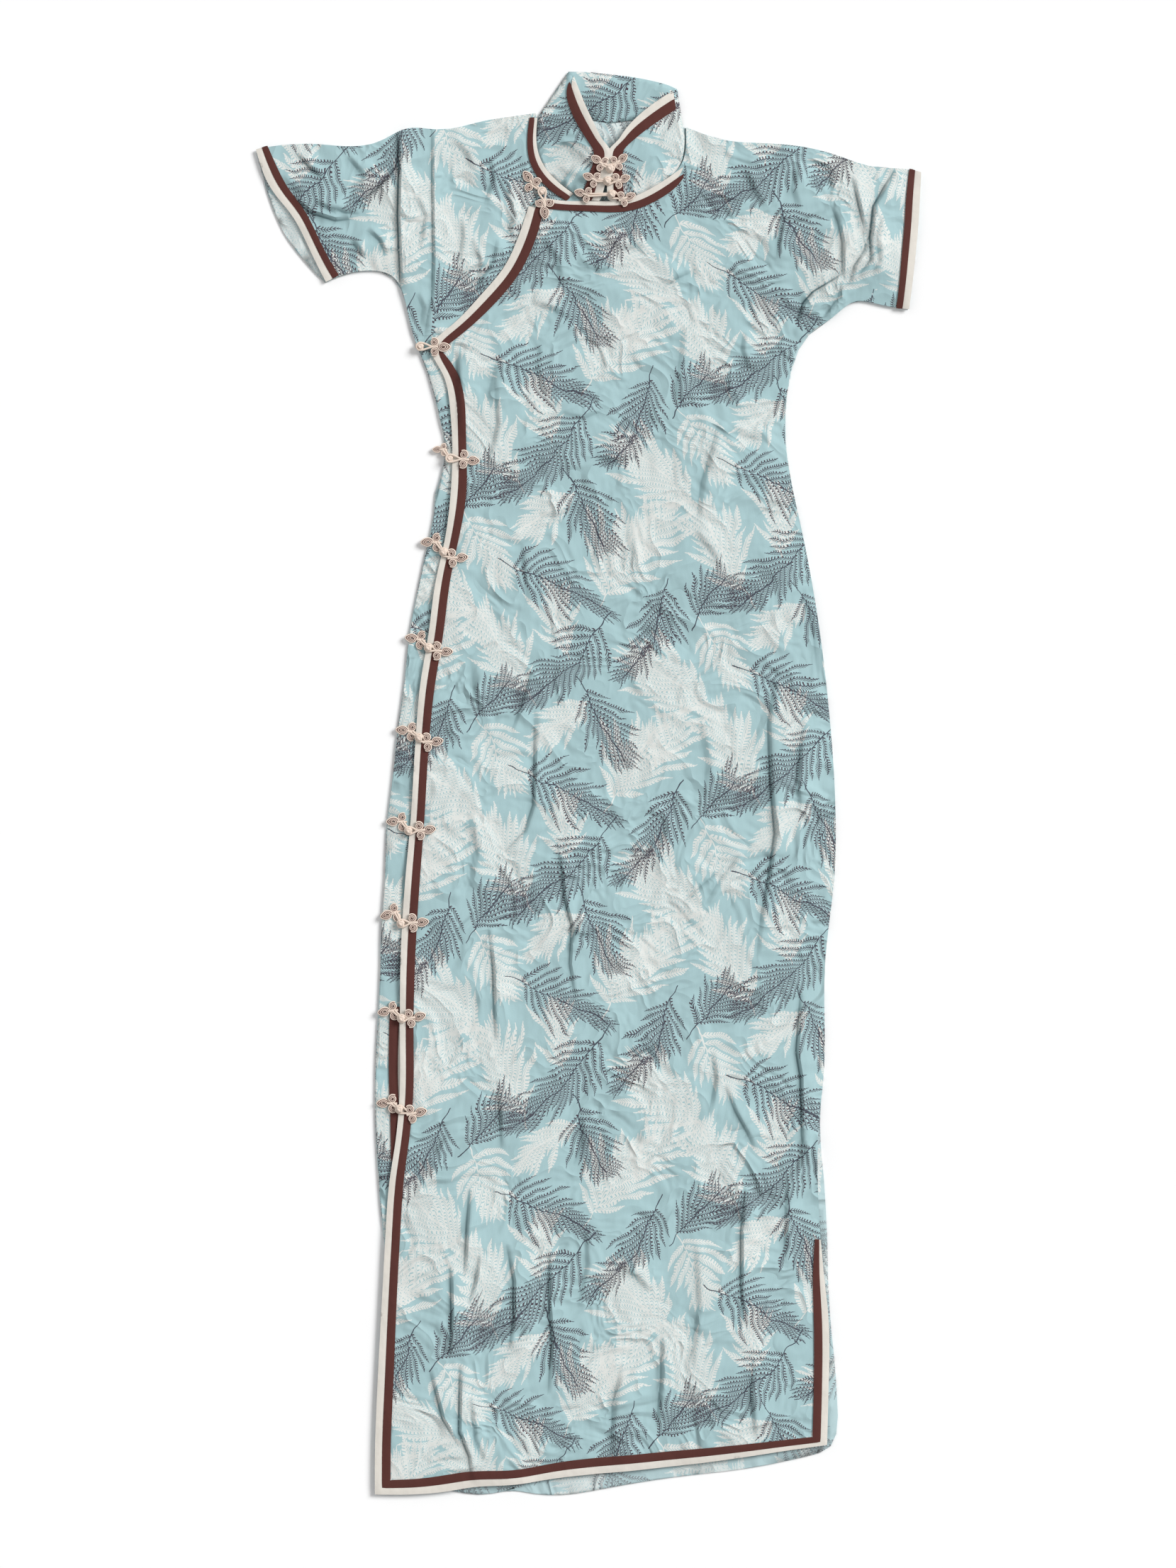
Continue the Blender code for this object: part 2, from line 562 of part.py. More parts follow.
def make_collar():
    """The stand collar, pressed flat: one band, folded at both sides, open at the front."""
    outside = COLLAR_WALL / 2
    bow_start, bow_end = COLLAR_BOWED
    sheet = Sheet()
    parts = (COLLAR_LEFT, COLLAR_FOLD_LEFT, COLLAR_BACK, COLLAR_FOLD_RIGHT, COLLAR_RIGHT)
    rows = [row for part in parts for row in part]
    lines = along(rows, EDGE_STEP)
    left_end = len(along(COLLAR_LEFT)) - 1
    right_start = len(lines) - len(along(COLLAR_RIGHT))
    grid = []
    for line in lines:
        foot, top = Vector(line[:3]), Vector(line[3:])
        foot.z, top.z = max(foot.z, outside), max(top.z, outside)
        lift = COLLAR_BULGE * ease((foot.z - bow_start) / (bow_end - bow_start))
        grid.append([
            sheet.add(foot.lerp(top, share) + Vector((0, 0, lift * math.sin(math.pi * share))), (0, 0, 0))
            for share in COLLAR_SHARES
        ])
    last = len(COLLAR_SHARES) - 2
    for i, (left, right) in enumerate(zip(grid, grid[1:])):
        rim = min(i, len(grid) - 2 - i)
        for j in range(last + 1):
            depth = min(rim, last - j)
            half = "left" if i < len(grid) / 2 else "right"
            stretch = half + ("_binding", "_band")[depth] if depth < 2 else "cloth"
            if left_end <= i < right_start:
                stretch = "cloth"
            sheet.cover((left[j], right[j], right[j + 1], left[j + 1]), stretch)
    bm = bmesh.new()
    corners = [bm.verts.new(point) for point in sheet.points]
    for face in sheet.faces:
        bm.faces.new([corners[i] for i in face])
    bm.normal_update()
    sheet.ways = [vert.normal.copy() for vert in corners]
    bm.free()
    wall("collar", sheet, stretches_of(sheet), -outside, outside, "printed_cloth")
    sheet.ways = [Vector((0, 0, 1))] * len(sheet.points)
    clear = outside * SLOPED_WALL + GAP
    for half in ("left", "right"):
        trims("collar_" + half, sheet, half, clear, clear + TRIM)


def ground_below():
    """A ray-caster on everything made so far, in metres."""
    points, faces = [], []
    for made in bpy.data.collections["cheongsam"].objects:
        first = len(points)
        points += [vertex.co.copy() for vertex in made.data.vertices]
        faces += [[first + i for i in face.vertices] for face in made.data.polygons]
    return BVHTree.FromPolygons(points, faces)


def resting(ground, x, y):
    """The height at which a frog clears all that lies under and round a place, mm."""
    heights = [0.0]
    for reach in (0.0, FROG_REACH / 2, FROG_REACH):
        for k in range(8 if reach else 1):
            angle = 2 * math.pi * k / 8
            place = Vector((x + reach * math.cos(angle), y + reach * math.sin(angle), HIGH)) - MIDDLE
            hit = ground.ray_cast(place * MM, Vector((0, 0, -1)))[0]
            if hit:
                heights.append(hit.z / MM)
    return max(heights) + GAP


def ring(x, y, along_x, along_y, turn):
    """An oval's corners round a place."""
    places = []
    for k in range(CORNERS):
        angle = 2 * math.pi * (k + CORNER_TURN) / CORNERS
        u, v = along_x * math.cos(angle), along_y * math.sin(angle)
        places.append((
            x + u * math.cos(turn) - v * math.sin(turn),
            y + u * math.sin(turn) + v * math.cos(turn),
        ))
    return places


def crown(off, radius, shares):
    """A dome's height at a place off its middle, in shares of its rise."""
    middle, fall = shares
    return middle - fall * (off.length / radius) ** 2


def make_frog_half(name, ground, knob, middle, outward, turn, size):
    """Two round coils, a leaf beyond them, and the stem to the knob or to the loop round it."""
    with_knob = outward < 0
    lean = math.radians(turn) * outward
    axis = Vector((outward * math.cos(lean), math.sin(lean)))
    cross = Vector((-axis.y, axis.x))
    facing = math.atan2(axis.y, axis.x)
    reach = (knob - middle).length
    way = (knob - middle) / reach
    side = Vector((-way.y, way.x)) * STEM
    stop = knob if with_knob else middle + way * max(reach - KNOB - LOOP_ROOM, LOOP_ROOM)
    shapes = [[middle + side, middle - side, stop - side, stop + side]]
    peaks = []
    if size:
        coil = COIL * size
        leaf = middle + axis * LEAF_OUT * size
        peaks = [middle + cross * COIL_PITCH * size / 2, middle - cross * COIL_PITCH * size / 2, leaf]
        shapes += [ring(peak.x, peak.y, coil, coil, facing) for peak in peaks[:2]]
        shapes.append(ring(leaf.x, leaf.y, LEAF_LENGTH * size, LEAF_WIDTH * size, facing))
        web = cross * STEM
        shapes.append([middle + web, middle - web, leaf - web, leaf + web])
    if with_knob:
        shapes.append(ring(knob.x, knob.y, KNOB, KNOB, facing))
    points, faces, _ = filled(shapes, [*peaks, knob] if with_knob else peaks)
    sheet, rises = Sheet(), []
    level = resting(ground, middle.x, middle.y)
    for point in points:
        sheet.add((point.x, point.y, max(level, resting(ground, point.x, point.y))), (0, 0, 1))
        crowns = [COIL_RISE * crown(point - peak, COIL, COIL_CROWN) for peak in peaks]
        if with_knob:
            crowns.append(KNOB_RISE * crown(point - knob, KNOB, KNOB_CROWN))
        rises.append(max([STEM_RISE, *crowns]))
    for corners in faces:
        sheet.cover(corners, "frog")
    wall(name, sheet, ("frog",), 0.0, rises, "frog_cord")


def make_frogs():
    ground = ground_below()
    for name, row in FROGS.items():
        knob = Vector(row[:2])
        left, right = knob + Vector(row[2:4]), knob + Vector(row[6:8])
        make_frog_half(f"frog_{name}_knob", ground, knob, left, -1, row[4], row[5])
        make_frog_half(f"frog_{name}_loop", ground, knob, right, 1, row[8], row[9])


def clear_scene():
    for thing in list(bpy.data.objects):
        bpy.data.objects.remove(thing, do_unlink=True)


def main():
    clear_scene()
    garment = bpy.data.collections.new("cheongsam")
    bpy.context.scene.collection.children.link(garment)
    make_back()
    make_overlap()
    make_front()
    make_collar()
    make_frogs()


main()
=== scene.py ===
"""The looks of a cheongsam that lies flat on its back: printed crepe with its creases, bias trims
and coiled frogs, laid over the frame's solids.

Lengths are metres unless a name or a table says mm. X runs across the dress, Y up it and Z out of
its front, and the surface that it lies on is at Z = 0.
"""

import json
import math

import bmesh
import bpy
import numpy as np
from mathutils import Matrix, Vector
from mathutils.bvhtree import BVHTree
from mathutils.geometry import delaunay_2d_cdt
from mathutils.kdtree import KDTree

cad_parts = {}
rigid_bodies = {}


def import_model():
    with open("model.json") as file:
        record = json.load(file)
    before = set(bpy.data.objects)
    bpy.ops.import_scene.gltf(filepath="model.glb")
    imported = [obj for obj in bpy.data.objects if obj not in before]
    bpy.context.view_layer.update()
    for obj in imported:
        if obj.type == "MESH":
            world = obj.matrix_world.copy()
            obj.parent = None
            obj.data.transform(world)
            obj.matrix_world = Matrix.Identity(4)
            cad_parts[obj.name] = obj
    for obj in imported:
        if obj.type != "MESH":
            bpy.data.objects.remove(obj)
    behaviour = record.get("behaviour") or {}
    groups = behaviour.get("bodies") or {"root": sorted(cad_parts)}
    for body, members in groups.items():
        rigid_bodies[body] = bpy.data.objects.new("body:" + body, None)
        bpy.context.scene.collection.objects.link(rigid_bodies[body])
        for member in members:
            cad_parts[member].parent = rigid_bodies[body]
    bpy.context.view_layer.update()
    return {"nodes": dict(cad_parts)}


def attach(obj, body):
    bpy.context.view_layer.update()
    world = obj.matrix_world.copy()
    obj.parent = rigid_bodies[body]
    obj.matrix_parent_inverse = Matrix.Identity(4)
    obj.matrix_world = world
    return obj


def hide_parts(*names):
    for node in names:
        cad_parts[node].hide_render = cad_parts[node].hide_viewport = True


bl_info = {
    "name": "Cheongsam",
    "version": (1, 0, 0),
    "blender": (4, 5, 0),
    "location": "View3D > Sidebar > Cheongsam",
    "description": "Dresses the solids of a flat-laid cheongsam in printed crepe, trims and frogs",
    "category": "Add Mesh",
}

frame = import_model()

MM = 0.001
# Points nearer to each other than this are one point, m
MERGE = 1e-6
# Which way across the dress the light comes from
LIGHT_FROM = (0.85, 0.53)
# The node that pales the print on the cloth's wrong side, and by how much
FADE = "wrong side"
PALER = 0.34
# How far the rounding of an outline reaches: most outlines', and those of both fronts, m
OUTLINE_REACH = 0.008
OPENING_REACH = 0.011
# An outline that turns by more than this has a corner, which isn't rounded
CORNER = math.radians(62)
# The shortest step along a rounded outline, m
SHORTEST = 0.0004
# Two faces that meet at more than this are a side and a wall
WALL_TURN = math.radians(40)

# The print repeats along these two steps, mm
REPEAT_ACROSS = (204.0, -87.0)
REPEAT_DOWN = (-5.0, -190.0)

# The fronds of one repeat: where a frond's branches start x, y, the way it grows in degrees, its
# length, the reach of its left and right branches, the angles of its first and last branches, the
# step from branch to branch, how its stem bends, how its branches curl forward, and its bare stem
# behind the start. mm and degrees
DARK_FRONDS = (
    (77, -3, -110, 60, 44, 56, 58, 20, 6.2, 0.0, 0.005, 12),
    (9, -46, -131, 112, 52, 56, 66, 20, 6.6, -0.0012, 0.010, 22),
    (-6, 86, -66, 76, 56, 46, 62, 20, 6.0, 0.0010, 0.004, 15),
    (-62, 10, -23, 98, 44, 48, 78, 20, 6.4, -0.0006, 0.010, 15),
    (101, -27, 52, 52, 54, 54, 56, 20, 5.6, 0.0, 0.003, 16),
    (55, -56, -134, 50, 30, 36, 52, 20, 5.8, 0.0, 0.002, 0),
)
WHITE_FRONDS = (
    (20, -14, 62, 80, 60, 66, 60, 18, 6.4, 0.0, 0.0, 16),
    (56, 18, 62, 66, 46, 54, 48, 24, 9.0, 0.0, 0.0, 4),
    (147, 1, 116, 84, 62, 56, 56, 20, 6.8, 0.0, 0.0, 16),
    (104, -35, -66, 66, 50, 44, 88, 26, 7.0, 0.0006, 0.018, 8),
    (103, -114, 143, 84, 70, 62, 50, 16, 5.8, 0.0, 0.0, 14),
    (-4, 76, 217, 68, 40, 36, 46, 18, 5.8, 0.0, 0.001, 0),
    (-24, -66, 94, 60, 48, 50, 52, 22, 7.4, 0.0, 0.0, 4),
)
# How the two kinds of frond are drawn: a branch's half width, the step from leaflet to leaflet,
# the share of it that the leaflet fills, the rib's half width and the stem's, mm
DARK_LEAFLETS = (2.1, 2.55, 0.42, 0.26, 0.44)
WHITE_LEAFLETS = (2.9, 2.8, 0.68, 0.36, 0.50)

# Creases of the front: height mm, two widths mm, then the line's points x, y mm. The lesser width
# is the fold's steep side, which always faces away from the light, and the greater one its other
# side. On an upright line, the line is the fold's crest where the lesser width comes first, and
# its foot where it comes second. On a level line it is the other way round
FRONT_CREASES = (
    (3.0, 4, 14, 193, -180, 197, -195, 195, -218, 193, -245, 197, -270, 198, -322, 203, -350),
    (2.8, 14, 5, 172, 105, 164, 55, 166, 0, 170, -45, 165, -80, 158, -120, 154, -160),
    (2.2, 14, 5, 197, 60, 193, 30, 190, 0, 194, -30),
    (2.4, 4, 13, -46, 66, -47, 20, -48, -20, -56, -45, -76, -66),
    (1.8, 4, 12, -50, 102, -56, 80, -68, 46),
    (2.6, 3.5, 12, -27, -50, -22, -80, -20, -104, -13, -130, -15, -165, -9, -200),
    (2.6, 13, 4, -92, -130, -88, -170, -87, -205, -86, -235),
    (2.0, 12, 4, -84, -270, -82, -300, -80, -335),
    (2.6, 4, 12, -106, -370, -109, -408, -111, -452),
    (2.2, 4, 10, -97, -430, -101, -455, -107, -478),
    (2.8, 4, 13, -72, -420, -66, -455, -66, -490, -70, -520),
    (2.6, 4, 13, -33, -425, -34, -470, -31, -510, -34, -560),
    (3.0, 12, 4, -127, -440, -126, -490, -128, -525),
    (2.6, 4, 10, -143, -535, -131, -581, -115, -607),
    (3.0, 4, 12, -115, -530, -116, -592, -107, -615, -104, -640),
    (2.2, 5, 10, -105, -560, -100, -600, -92, -620),
    (2.8, 13, 4, 143, -370, 139, -410, 139, -460, 141, -495),
    (2.2, 10, 4, 124, -275, 134, -300, 145, -320, 152, -335),
    (2.0, 10, 5, 112, -245, 116, -270, 110, -305),
    (2.2, 12, 5, 150, -525, 148, -560, 152, -600),
    (2.4, 12, 5, 66, -505, 66, -545, 62, -590),
    (2.0, 12, 5, 181, -360, 180, -410, 178, -440),
    (2.0, 14, 6, 30, -530, 22, -570, 20, -622),
    (1.6, 10, 5, -4, -400, -2, -440, -10, -480),
    (1.6, 12, 6, 96, -420, 100, -480, 92, -540),
    (1.8, 12, 6, -8, -300, -6, -330, -14, -350),
    (1.8, 12, 5, -10, -120, -14, -140, -20, -150),
    (1.5, 8, 5, 106, -112, 120, -88, 140, -62),
    (1.5, 8, 5, 88, -112, 104, -98, 128, -78),
    (1.4, 10, 6, -94, 345, -88, 372, -82, 395),
    (1.8, 12, 5, -93, 290, -84, 330, -86, 372),
    (2.0, 6, 12, 104, 238, 108, 275, 117, 305, 124, 332),
    (1.4, 8, 6, 5, 303, 24, 300, 46, 304),
    (1.4, 10, 6, 86, 420, 84, 395, 80, 360, 88, 340),
    (1.4, 10, 6, -45, 405, -48, 380, -40, 350),
    (1.6, 10, 5, -62, 222, -60, 195, -56, 165),
    (1.3, 8, 5, -24, 342, -6, 338, 12, 346),
    (1.2, 10, 7, 32, 232, 40, 210, 38, 190),
    (1.4, 10, 6, -10, 262, -30, 250, -46, 250),
    (1.5, 9, 6, 96, 232, 112, 212, 122, 196),
    (1.3, 9, 6, 40, 140, 56, 146, 66, 140),
    (1.4, 10, 7, -108, 120, -104, 80, -92, 40),
    (1.6, 12, 7, -112, -20, -104, -60, -110, -100),
    (1.4, 12, 7, 100, 60, 108, 20, 106, -20),
    (1.4, 8, 6, 42, -76, 56, -56, 72, -40),
    (1.5, 9, 6, -24, -128, -4, -134, 12, -128),
    (1.5, 9, 6, 36, -246, 54, -240, 66, -228),
    (1.6, 9, 6, 28, -438, 44, -446, 60, -464),
    (1.4, 9, 6, -150, -180, -176, -214, -190, -232),
    (2.6, 5, 14, -118, 398, -116, 360, -116, 320),
    (3.6, 5, 13, 286, 563, 274, 545, 264, 527, 261, 500, 262, 478, 250, 462),
    (2.6, 10, 4, 241, 557, 245, 538, 250, 516, 254, 500),
    (2.4, 10, 4, 221, 532, 228, 515, 232, 495, 232, 470, 236, 455),
    (2.6, 10, 4, 256, 503, 252, 488, 243, 474, 238, 456),
    (3.4, 4, 13, 236, 466, 227, 460, 207, 448, 199, 439, 193, 419),
    (2.4, 5, 9, 236, 461, 232, 443, 218, 424),
    (1.8, 5, 9, 273, 520, 268, 500, 270, 478, 262, 462),
    (1.8, 8, 5, 66, 457, 80, 467, 94, 473),
    (1.8, 5, 9, 146, 414, 144, 398, 150, 380),
    (2.0, 10, 5, 178, 520, 174, 500, 172, 480),
    (1.8, 10, 6, 140, 565, 150, 545, 160, 528),
    (1.6, 9, 6, 190, 570, 186, 545, 192, 525),
    (1.6, 10, 7, 10, 505, 32, 495, 52, 498),
    (1.6, 10, 6, -44, 500, -30, 480, -26, 455),
    (1.8, 12, 6, -52, 445, -30, 438, -14, 428),
    (1.6, 10, 6, -10, 482, 10, 474, 22, 480),
    (1.4, 10, 7, 120, 330, 140, 326, 168, 318),
    (1.4, 10, 7, 150, 250, 170, 262, 184, 258),
    (1.6, 10, 6, 196, 180, 206, 140, 210, 100),
)
OVERLAP_CREASES = (
    (4.2, 4, 16, -173, 618, -171, 560, -172, 520, -170, 470, -170, 430),
    (2.4, 3.5, 12, -141, 612, -141, 540, -140, 480, -141, 446, -146, 420, -148, 405),
    (2.4, 8, 4, -266, 580, -254, 567, -241, 556),
    (2.8, 8, 4, -270, 541, -254, 526, -232, 519, -214, 521),
    (2.4, 5, 9, -252, 534, -240, 527, -230, 522),
    (2.4, 8, 5, -236, 532, -222, 527, -209, 526),
    (2.8, 9, 4, -214, 527, -205, 533, -194, 541, -182, 553, -172, 568),
    (2.4, 8, 5, -218, 498, -212, 490, -205, 481),
    (2.2, 9, 5, -204, 508, -192, 498, -186, 484),
    (2.0, 9, 5, -222, 575, -214, 566, -206, 556),
    (1.8, 9, 6, -196, 560, -206, 548, -220, 542),
    (1.8, 9, 5, -160, 540, -150, 520, -156, 490),
    (1.6, 9, 6, -125, 590, -112, 575, -106, 560),
    (1.8, 9, 5, -92, 575, -88, 555, -96, 530),
    (1.6, 9, 5, -108, 500, -100, 480, -102, 455),
    (1.6, 8, 5, -118, 520, -116, 500, -120, 476),
    (1.8, 8, 4, -84, 500, -88, 478, -104, 455),
    (1.5, 8, 5, -76, 545, -70, 520, -76, 500),
    (1.5, 8, 5, -158, 450, -152, 436, -154, 420),
    (1.4, 8, 6, -280, 560, -268, 548, -258, 545),
)
COLLAR_CREASES = (
    (0.9, 8, 5, -34, 596, -22, 584, -10, 572, 0, 556),
    (0.8, 6, 5, -30, 570, -18, 562, -4, 560),
    (0.9, 7, 5, 82, 612, 70, 598, 60, 580),
    (0.8, 7, 5, 62, 570, 50, 560, 40, 556),
    (0.8, 6, 5, 44, 590, 52, 600, 66, 606),
)
BACK_CREASES = (
    (0.9, 6, 9, -290, 545, -270, 520, -258, 500),
    (0.8, 6, 8, 214, -400, 220, -470, 222, -540),
    (0.8, 6, 8, -60, -640, -70, -600, -74, -560),
)
# The flap's: between two frogs it dips away from the front's edge
FLAP_CREASES = (
    (1.2, 5, 8, -150, 380, -146, 350, -138, 325),
    (1.4, 5, 8, -150, 255, -155, 225, -160, 200),
    (1.2, 5, 8, -166, 150, -172, 110, -178, 80),
    (1.2, 5, 8, -178, 50, -184, 10, -190, -20),
    (1.2, 5, 8, -186, -70, -190, -120, -194, -160),
)

# Where a panel's print is out of step with the front's, because a fold hides cloth: x from which
# it holds, and its shift x, y, mm
OVERLAP_SHIFTS = ((-400, -50, -40), (-172, -47, -25), (-141, -53, -13))
SLEEVE_SHIFTS = ((-400, 0, 0), (262, -16, -25))
BACK_SHIFTS = ((-400, 40, 55),)
COLLAR_SHIFTS = ((-400, 88, 30),)
# The front's print slips as the panel widens and narrows: at a height y, its shift x, y at its
# left, its middle and its right, which are at x as in DRIFT_ACROSS, mm
DRIFT_ACROSS = (-110, 0, 165)
FRONT_DRIFT = (
    (-640, -4, 0, -22, 0, -20, 0), (-600, -6, -2, -22, -1, -20, 0), (-550, -18, -17, -23, -4, -20, -4),
    (-500, -17, -17, -19, -3, -19, -6), (-440, -4, -13, -9, 0, -8, -7), (-360, 0, -10, -3, -2, -3, -6),
    (-280, 9, -14, 8, -2, 4, -5), (-200, 8, -3, 1, 0, 4, -9), (-120, 4, -5, 6, -2, 3, -7),
    (-40, 5, 0, 3, 0, 4, -7), (40, 3, 0, 6, 0, 3, -8), (120, -2, -5, -1, -3, -1, -10),
    (200, -13, 0, -15, 1, -12, -18), (280, -16, 0, -14, 2, -16, -12), (360, -31, 0, -29, 2, -33, -19),
    (440, -35, -6, -28, 3, -32, -30), (520, -37, -8, -37, -8, -37, -37),
)
FLAP_SHIFT = (-62, 8)

# The frogs: knob x, y, then for the knob's half and for the loop's the middle of its pair of round
# coils from the knob, the turn of its leaf in degrees anticlockwise from straight outwards, and
# its size, 0 where its coils are out of sight round the edge. mm
FROGS = {
    "neck": (-42.5, 542.75, -8.4, 6.2, -55, 1.0, 2.3, -10.7, -88, 1.0),
    "collar_top": (20, 563.25, -7.1, 3.5, -36, 0.84, 5.5, 4.5, 40, 0.84),
    "collar_middle": (17.5, 551.75, -11.1, 0.7, -24, 0.84, 8.7, -0.1, 20, 0.84),
    "collar_foot": (21.5, 539.75, -22.3, -0.7, -16, 0.84, 9.6, -4.4, 22, 0.84),
    "side_1": (-154, 400.75, -4.5, 0.5, 0, 0, 12.8, -0.5, 0, 1.0),
    "side_2": (-127, 298.25, -5.5, 8.0, 0, 0.7, 12.5, -1.0, -6, 1.0),
    "side_3": (-132.5, 212.25, -6.5, 9, 0, 1.0, 7.5, -5.5, 5, 1.0),
    "side_4": (-146.5, 124.75, -7, 7, -10, 1.0, 7.6, -3, -2, 1.0),
    "side_5": (-155, 42.25, -7, 5.5, -8, 1.0, 7.2, -4, 6, 1.0),
    "side_6": (-164.5, -42.75, -6.0, 8, 0, 1.0, 10, 0, 8, 1.0),
    "side_7": (-171.5, -127.75, -5.0, 10, 18, 1.0, 10.5, 0.5, 6, 1.0),
    "side_8": (-171, -214.75, -7.5, 7, 8, 1.0, 7.5, 0, 14, 1.0),
    "side_9": (-173, -297.75, -6.5, 5, 0, 1.0, 10.5, -4.5, 14, 1.0),
}

# The trims on each panel, and how far each one's brown strip spreads over what is beside it, mm
TRIMS = {
    "front_panel": (("front_edge", 1.2), ("cuff_right", 0.6), ("neck_front", 1.2)),
    "front_overlap": (("cuff_left", 0.6), ("neck_left", 1.2)),
    "back_panel": (("back_slit", 0.6),),
    "collar": (("collar_left", 0.6), ("collar_right", 0.6)),
}
CREAM_SPREAD = 0.3
# Where the front neck trim is tucked under the collar's side, m
NECK_TUCK = 0.0872
# Below this height up the dress, two bends in a row of at least this much are one square corner
HEM_CORNERS = -0.57
HEM_BEND = math.radians(20)

# A crease's steep side is narrower than its row says by this, and its foot dips by this share of its height.
# The shade painted into its fold's colour is fully dark from this height and up to this steep width, m, with
# this share of the painted shade in a fine line
STEEPER = 0.8
TROUGH = 0.22
PAINTED_SHADE_HEIGHT = 0.0030
PAINTED_SHADE_WIDTH = 0.005
PAINTED_SHADE_LINE = 0.75
# A panel's cloth never sinks more than this into its solid, its creases are weaker within this of
# its rim, and its fullness grows over this, m. At the rim they have this share of their height
DEEPEST = 0.0011
RIM_REACH = 0.010
FULLNESS_REACH = 0.03
RIM_SHARE = 0.4
# The mesh is fine this near to a crease and within twice that, and this coarse on hidden sides, m.
# The finest has this share of the fine spacing
CREASE_REACH = 0.0055
HIDDEN_SPACING = 0.012
FINEST = 0.6
# The step between mesh points along a crease, and the least gap between two of them, m
CREASE_STEP = 0.003
CREASE_GAP = 0.0008
# No mesh point inside a piece is nearer to its rim than this, m
RIM_GAP = 0.0012
# A strip lies this far off its panel, its edges are rounded over this, the brown one stands this
# much over the cream one, and no place in a strip is further from its rim than this, m
STRIP_GAP = 0.00012
STRIP_SHOULDER = 0.003
BROWN_LIFT = 0.0005
STRIP_REACH = 0.006
# Where the collar's two fronts are drawn together: from this height to that, each with the length
# that it takes to fade, the place across, and how far and how wide it reaches, m. The left one
# comes this share as far as the right one
COLLAR_CLOSED = ((0.531, 0.006), (0.592, 0.014), 0.0212, 0.0062, 0.020)
COLLAR_LEFT = 0.55
# A frog's leaf coil: half its length and half its width, and how far its point is drawn out. How
# far the bridge over the pair reaches, and how far from the middle a knob's two stems start, m
LEAF_COIL = (0.0053, 0.0044, 0.0019)
BRIDGE_REACH = 0.0046
STEM_ASIDE = 0.0011
# The turned-over flap is what stands above this height, left of this place, m
FLAP_FLOOR = 0.0024
FLAP_SIDE = -0.11
# Where over the dress's middle the camera is, the floor's half width and how far it is under the
# dress, and the lamps: where each shines from, m, and how wide it looks, degrees
CAMERA_PLACE = (-0.00045, -0.0001)
FLOOR_HALF = 6.0
FLOOR_DROP = 0.0004
LAMPS = {"key": ((2.1, 1.3, 2.0), 26), "side": ((-2.4, 1.2, 2.4), 60)}


class PrintedCrepe(bpy.types.PropertyGroup):
    """The colours of the printed cloth and the fineness of its mesh."""

    ground: bpy.props.FloatVectorProperty(
        name="Ground", description="Dyed ground", subtype="COLOR", size=3, default=(0.384, 0.556, 0.580)
    )
    white: bpy.props.FloatVectorProperty(
        name="White fronds", description="Pale print", subtype="COLOR", size=3, default=(0.705, 0.712, 0.680)
    )
    dark: bpy.props.FloatVectorProperty(
        name="Dark fronds", description="Dark print", subtype="COLOR", size=3, default=(0.050, 0.020, 0.034)
    )
    ribs: bpy.props.FloatVectorProperty(
        name="Dark stems", description="Stems in the dark print", subtype="COLOR", size=3,
        default=(0.040, 0.040, 0.062),
    )
    # Painted shade: the colour that the cloth's colours are multiplied by where the fold attribute paints
    # shade into a fold
    shade: bpy.props.FloatVectorProperty(
        name="Fold shade", description="What the colours are multiplied by in a fold", subtype="COLOR",
        size=3, default=(0.10, 0.16, 0.18),
    )
    spacing: bpy.props.FloatProperty(
        name="Spacing", description="Longest mesh edge away from a crease",
        unit="LENGTH", default=0.0085, min=0.003,
    )
    fine_spacing: bpy.props.FloatProperty(
        name="Fine spacing", description="Longest mesh edge by a crease",
        unit="LENGTH", default=0.0042, min=0.002,
    )
    grid: bpy.props.FloatProperty(
        name="Grid", description="Spacing of the fronts' mesh away from a crease",
        unit="LENGTH", default=0.005, min=0.003,
    )
    crease_depth: bpy.props.FloatProperty(
        name="Crease depth", description="Scale of every crease's height", default=1.2, min=0.0, max=1.3
    )
    fullness: bpy.props.FloatProperty(
        name="Fullness", description="How far a panel's middle stands up", unit="LENGTH", default=0.0012
    )


class BiasTrims(bpy.types.PropertyGroup):
    """The two-colour trims."""

    cream: bpy.props.FloatVectorProperty(
        name="Binding", description="Outer strip", subtype="COLOR", size=3, default=(0.77, 0.73, 0.665)
    )
    brown: bpy.props.FloatVectorProperty(
        name="Band", description="Inner strip", subtype="COLOR", size=3, default=(0.098, 0.030, 0.024)
    )
    spacing: bpy.props.FloatProperty(
        name="Spacing", description="Longest mesh edge", unit="LENGTH", default=0.0030, min=0.001
    )
    wall: bpy.props.FloatProperty(
        name="Wall", description="A strip's thickness", unit="LENGTH", default=0.00045
    )
    swell: bpy.props.FloatProperty(
        name="Swell", description="Rise along a strip's middle", unit="LENGTH", default=0.0003
    )


class CoiledFrogs(bpy.types.PropertyGroup):
    """The knot buttons, their loops and their coils."""

    cord: bpy.props.FloatVectorProperty(
        name="Cord", description="Rolled strip", subtype="COLOR", size=3, default=(0.82, 0.755, 0.685)
    )
    line: bpy.props.FloatVectorProperty(
        name="Line", description="The line in the coils", subtype="COLOR", size=3,
        default=(0.115, 0.040, 0.032),
    )
    radius: bpy.props.FloatProperty(
        name="Cord radius", description="Half the rolled strip's thickness", unit="LENGTH", default=0.00072
    )
    turns: bpy.props.FloatProperty(name="Turns", description="Turns in a round coil", default=2.5)
    coil: bpy.props.FloatProperty(
        name="Coil radius", description="Outer radius of a round coil", unit="LENGTH", default=0.0046
    )
    pitch: bpy.props.FloatProperty(
        name="Coil pair", description="From one round coil to the other", unit="LENGTH", default=0.0088
    )
    leaf_out: bpy.props.FloatProperty(
        name="Leaf", description="From the pair to the leaf's middle", unit="LENGTH", default=0.0084
    )
    knob: bpy.props.FloatProperty(
        name="Knob radius", description="Radius of the ball knot", unit="LENGTH", default=0.0031
    )


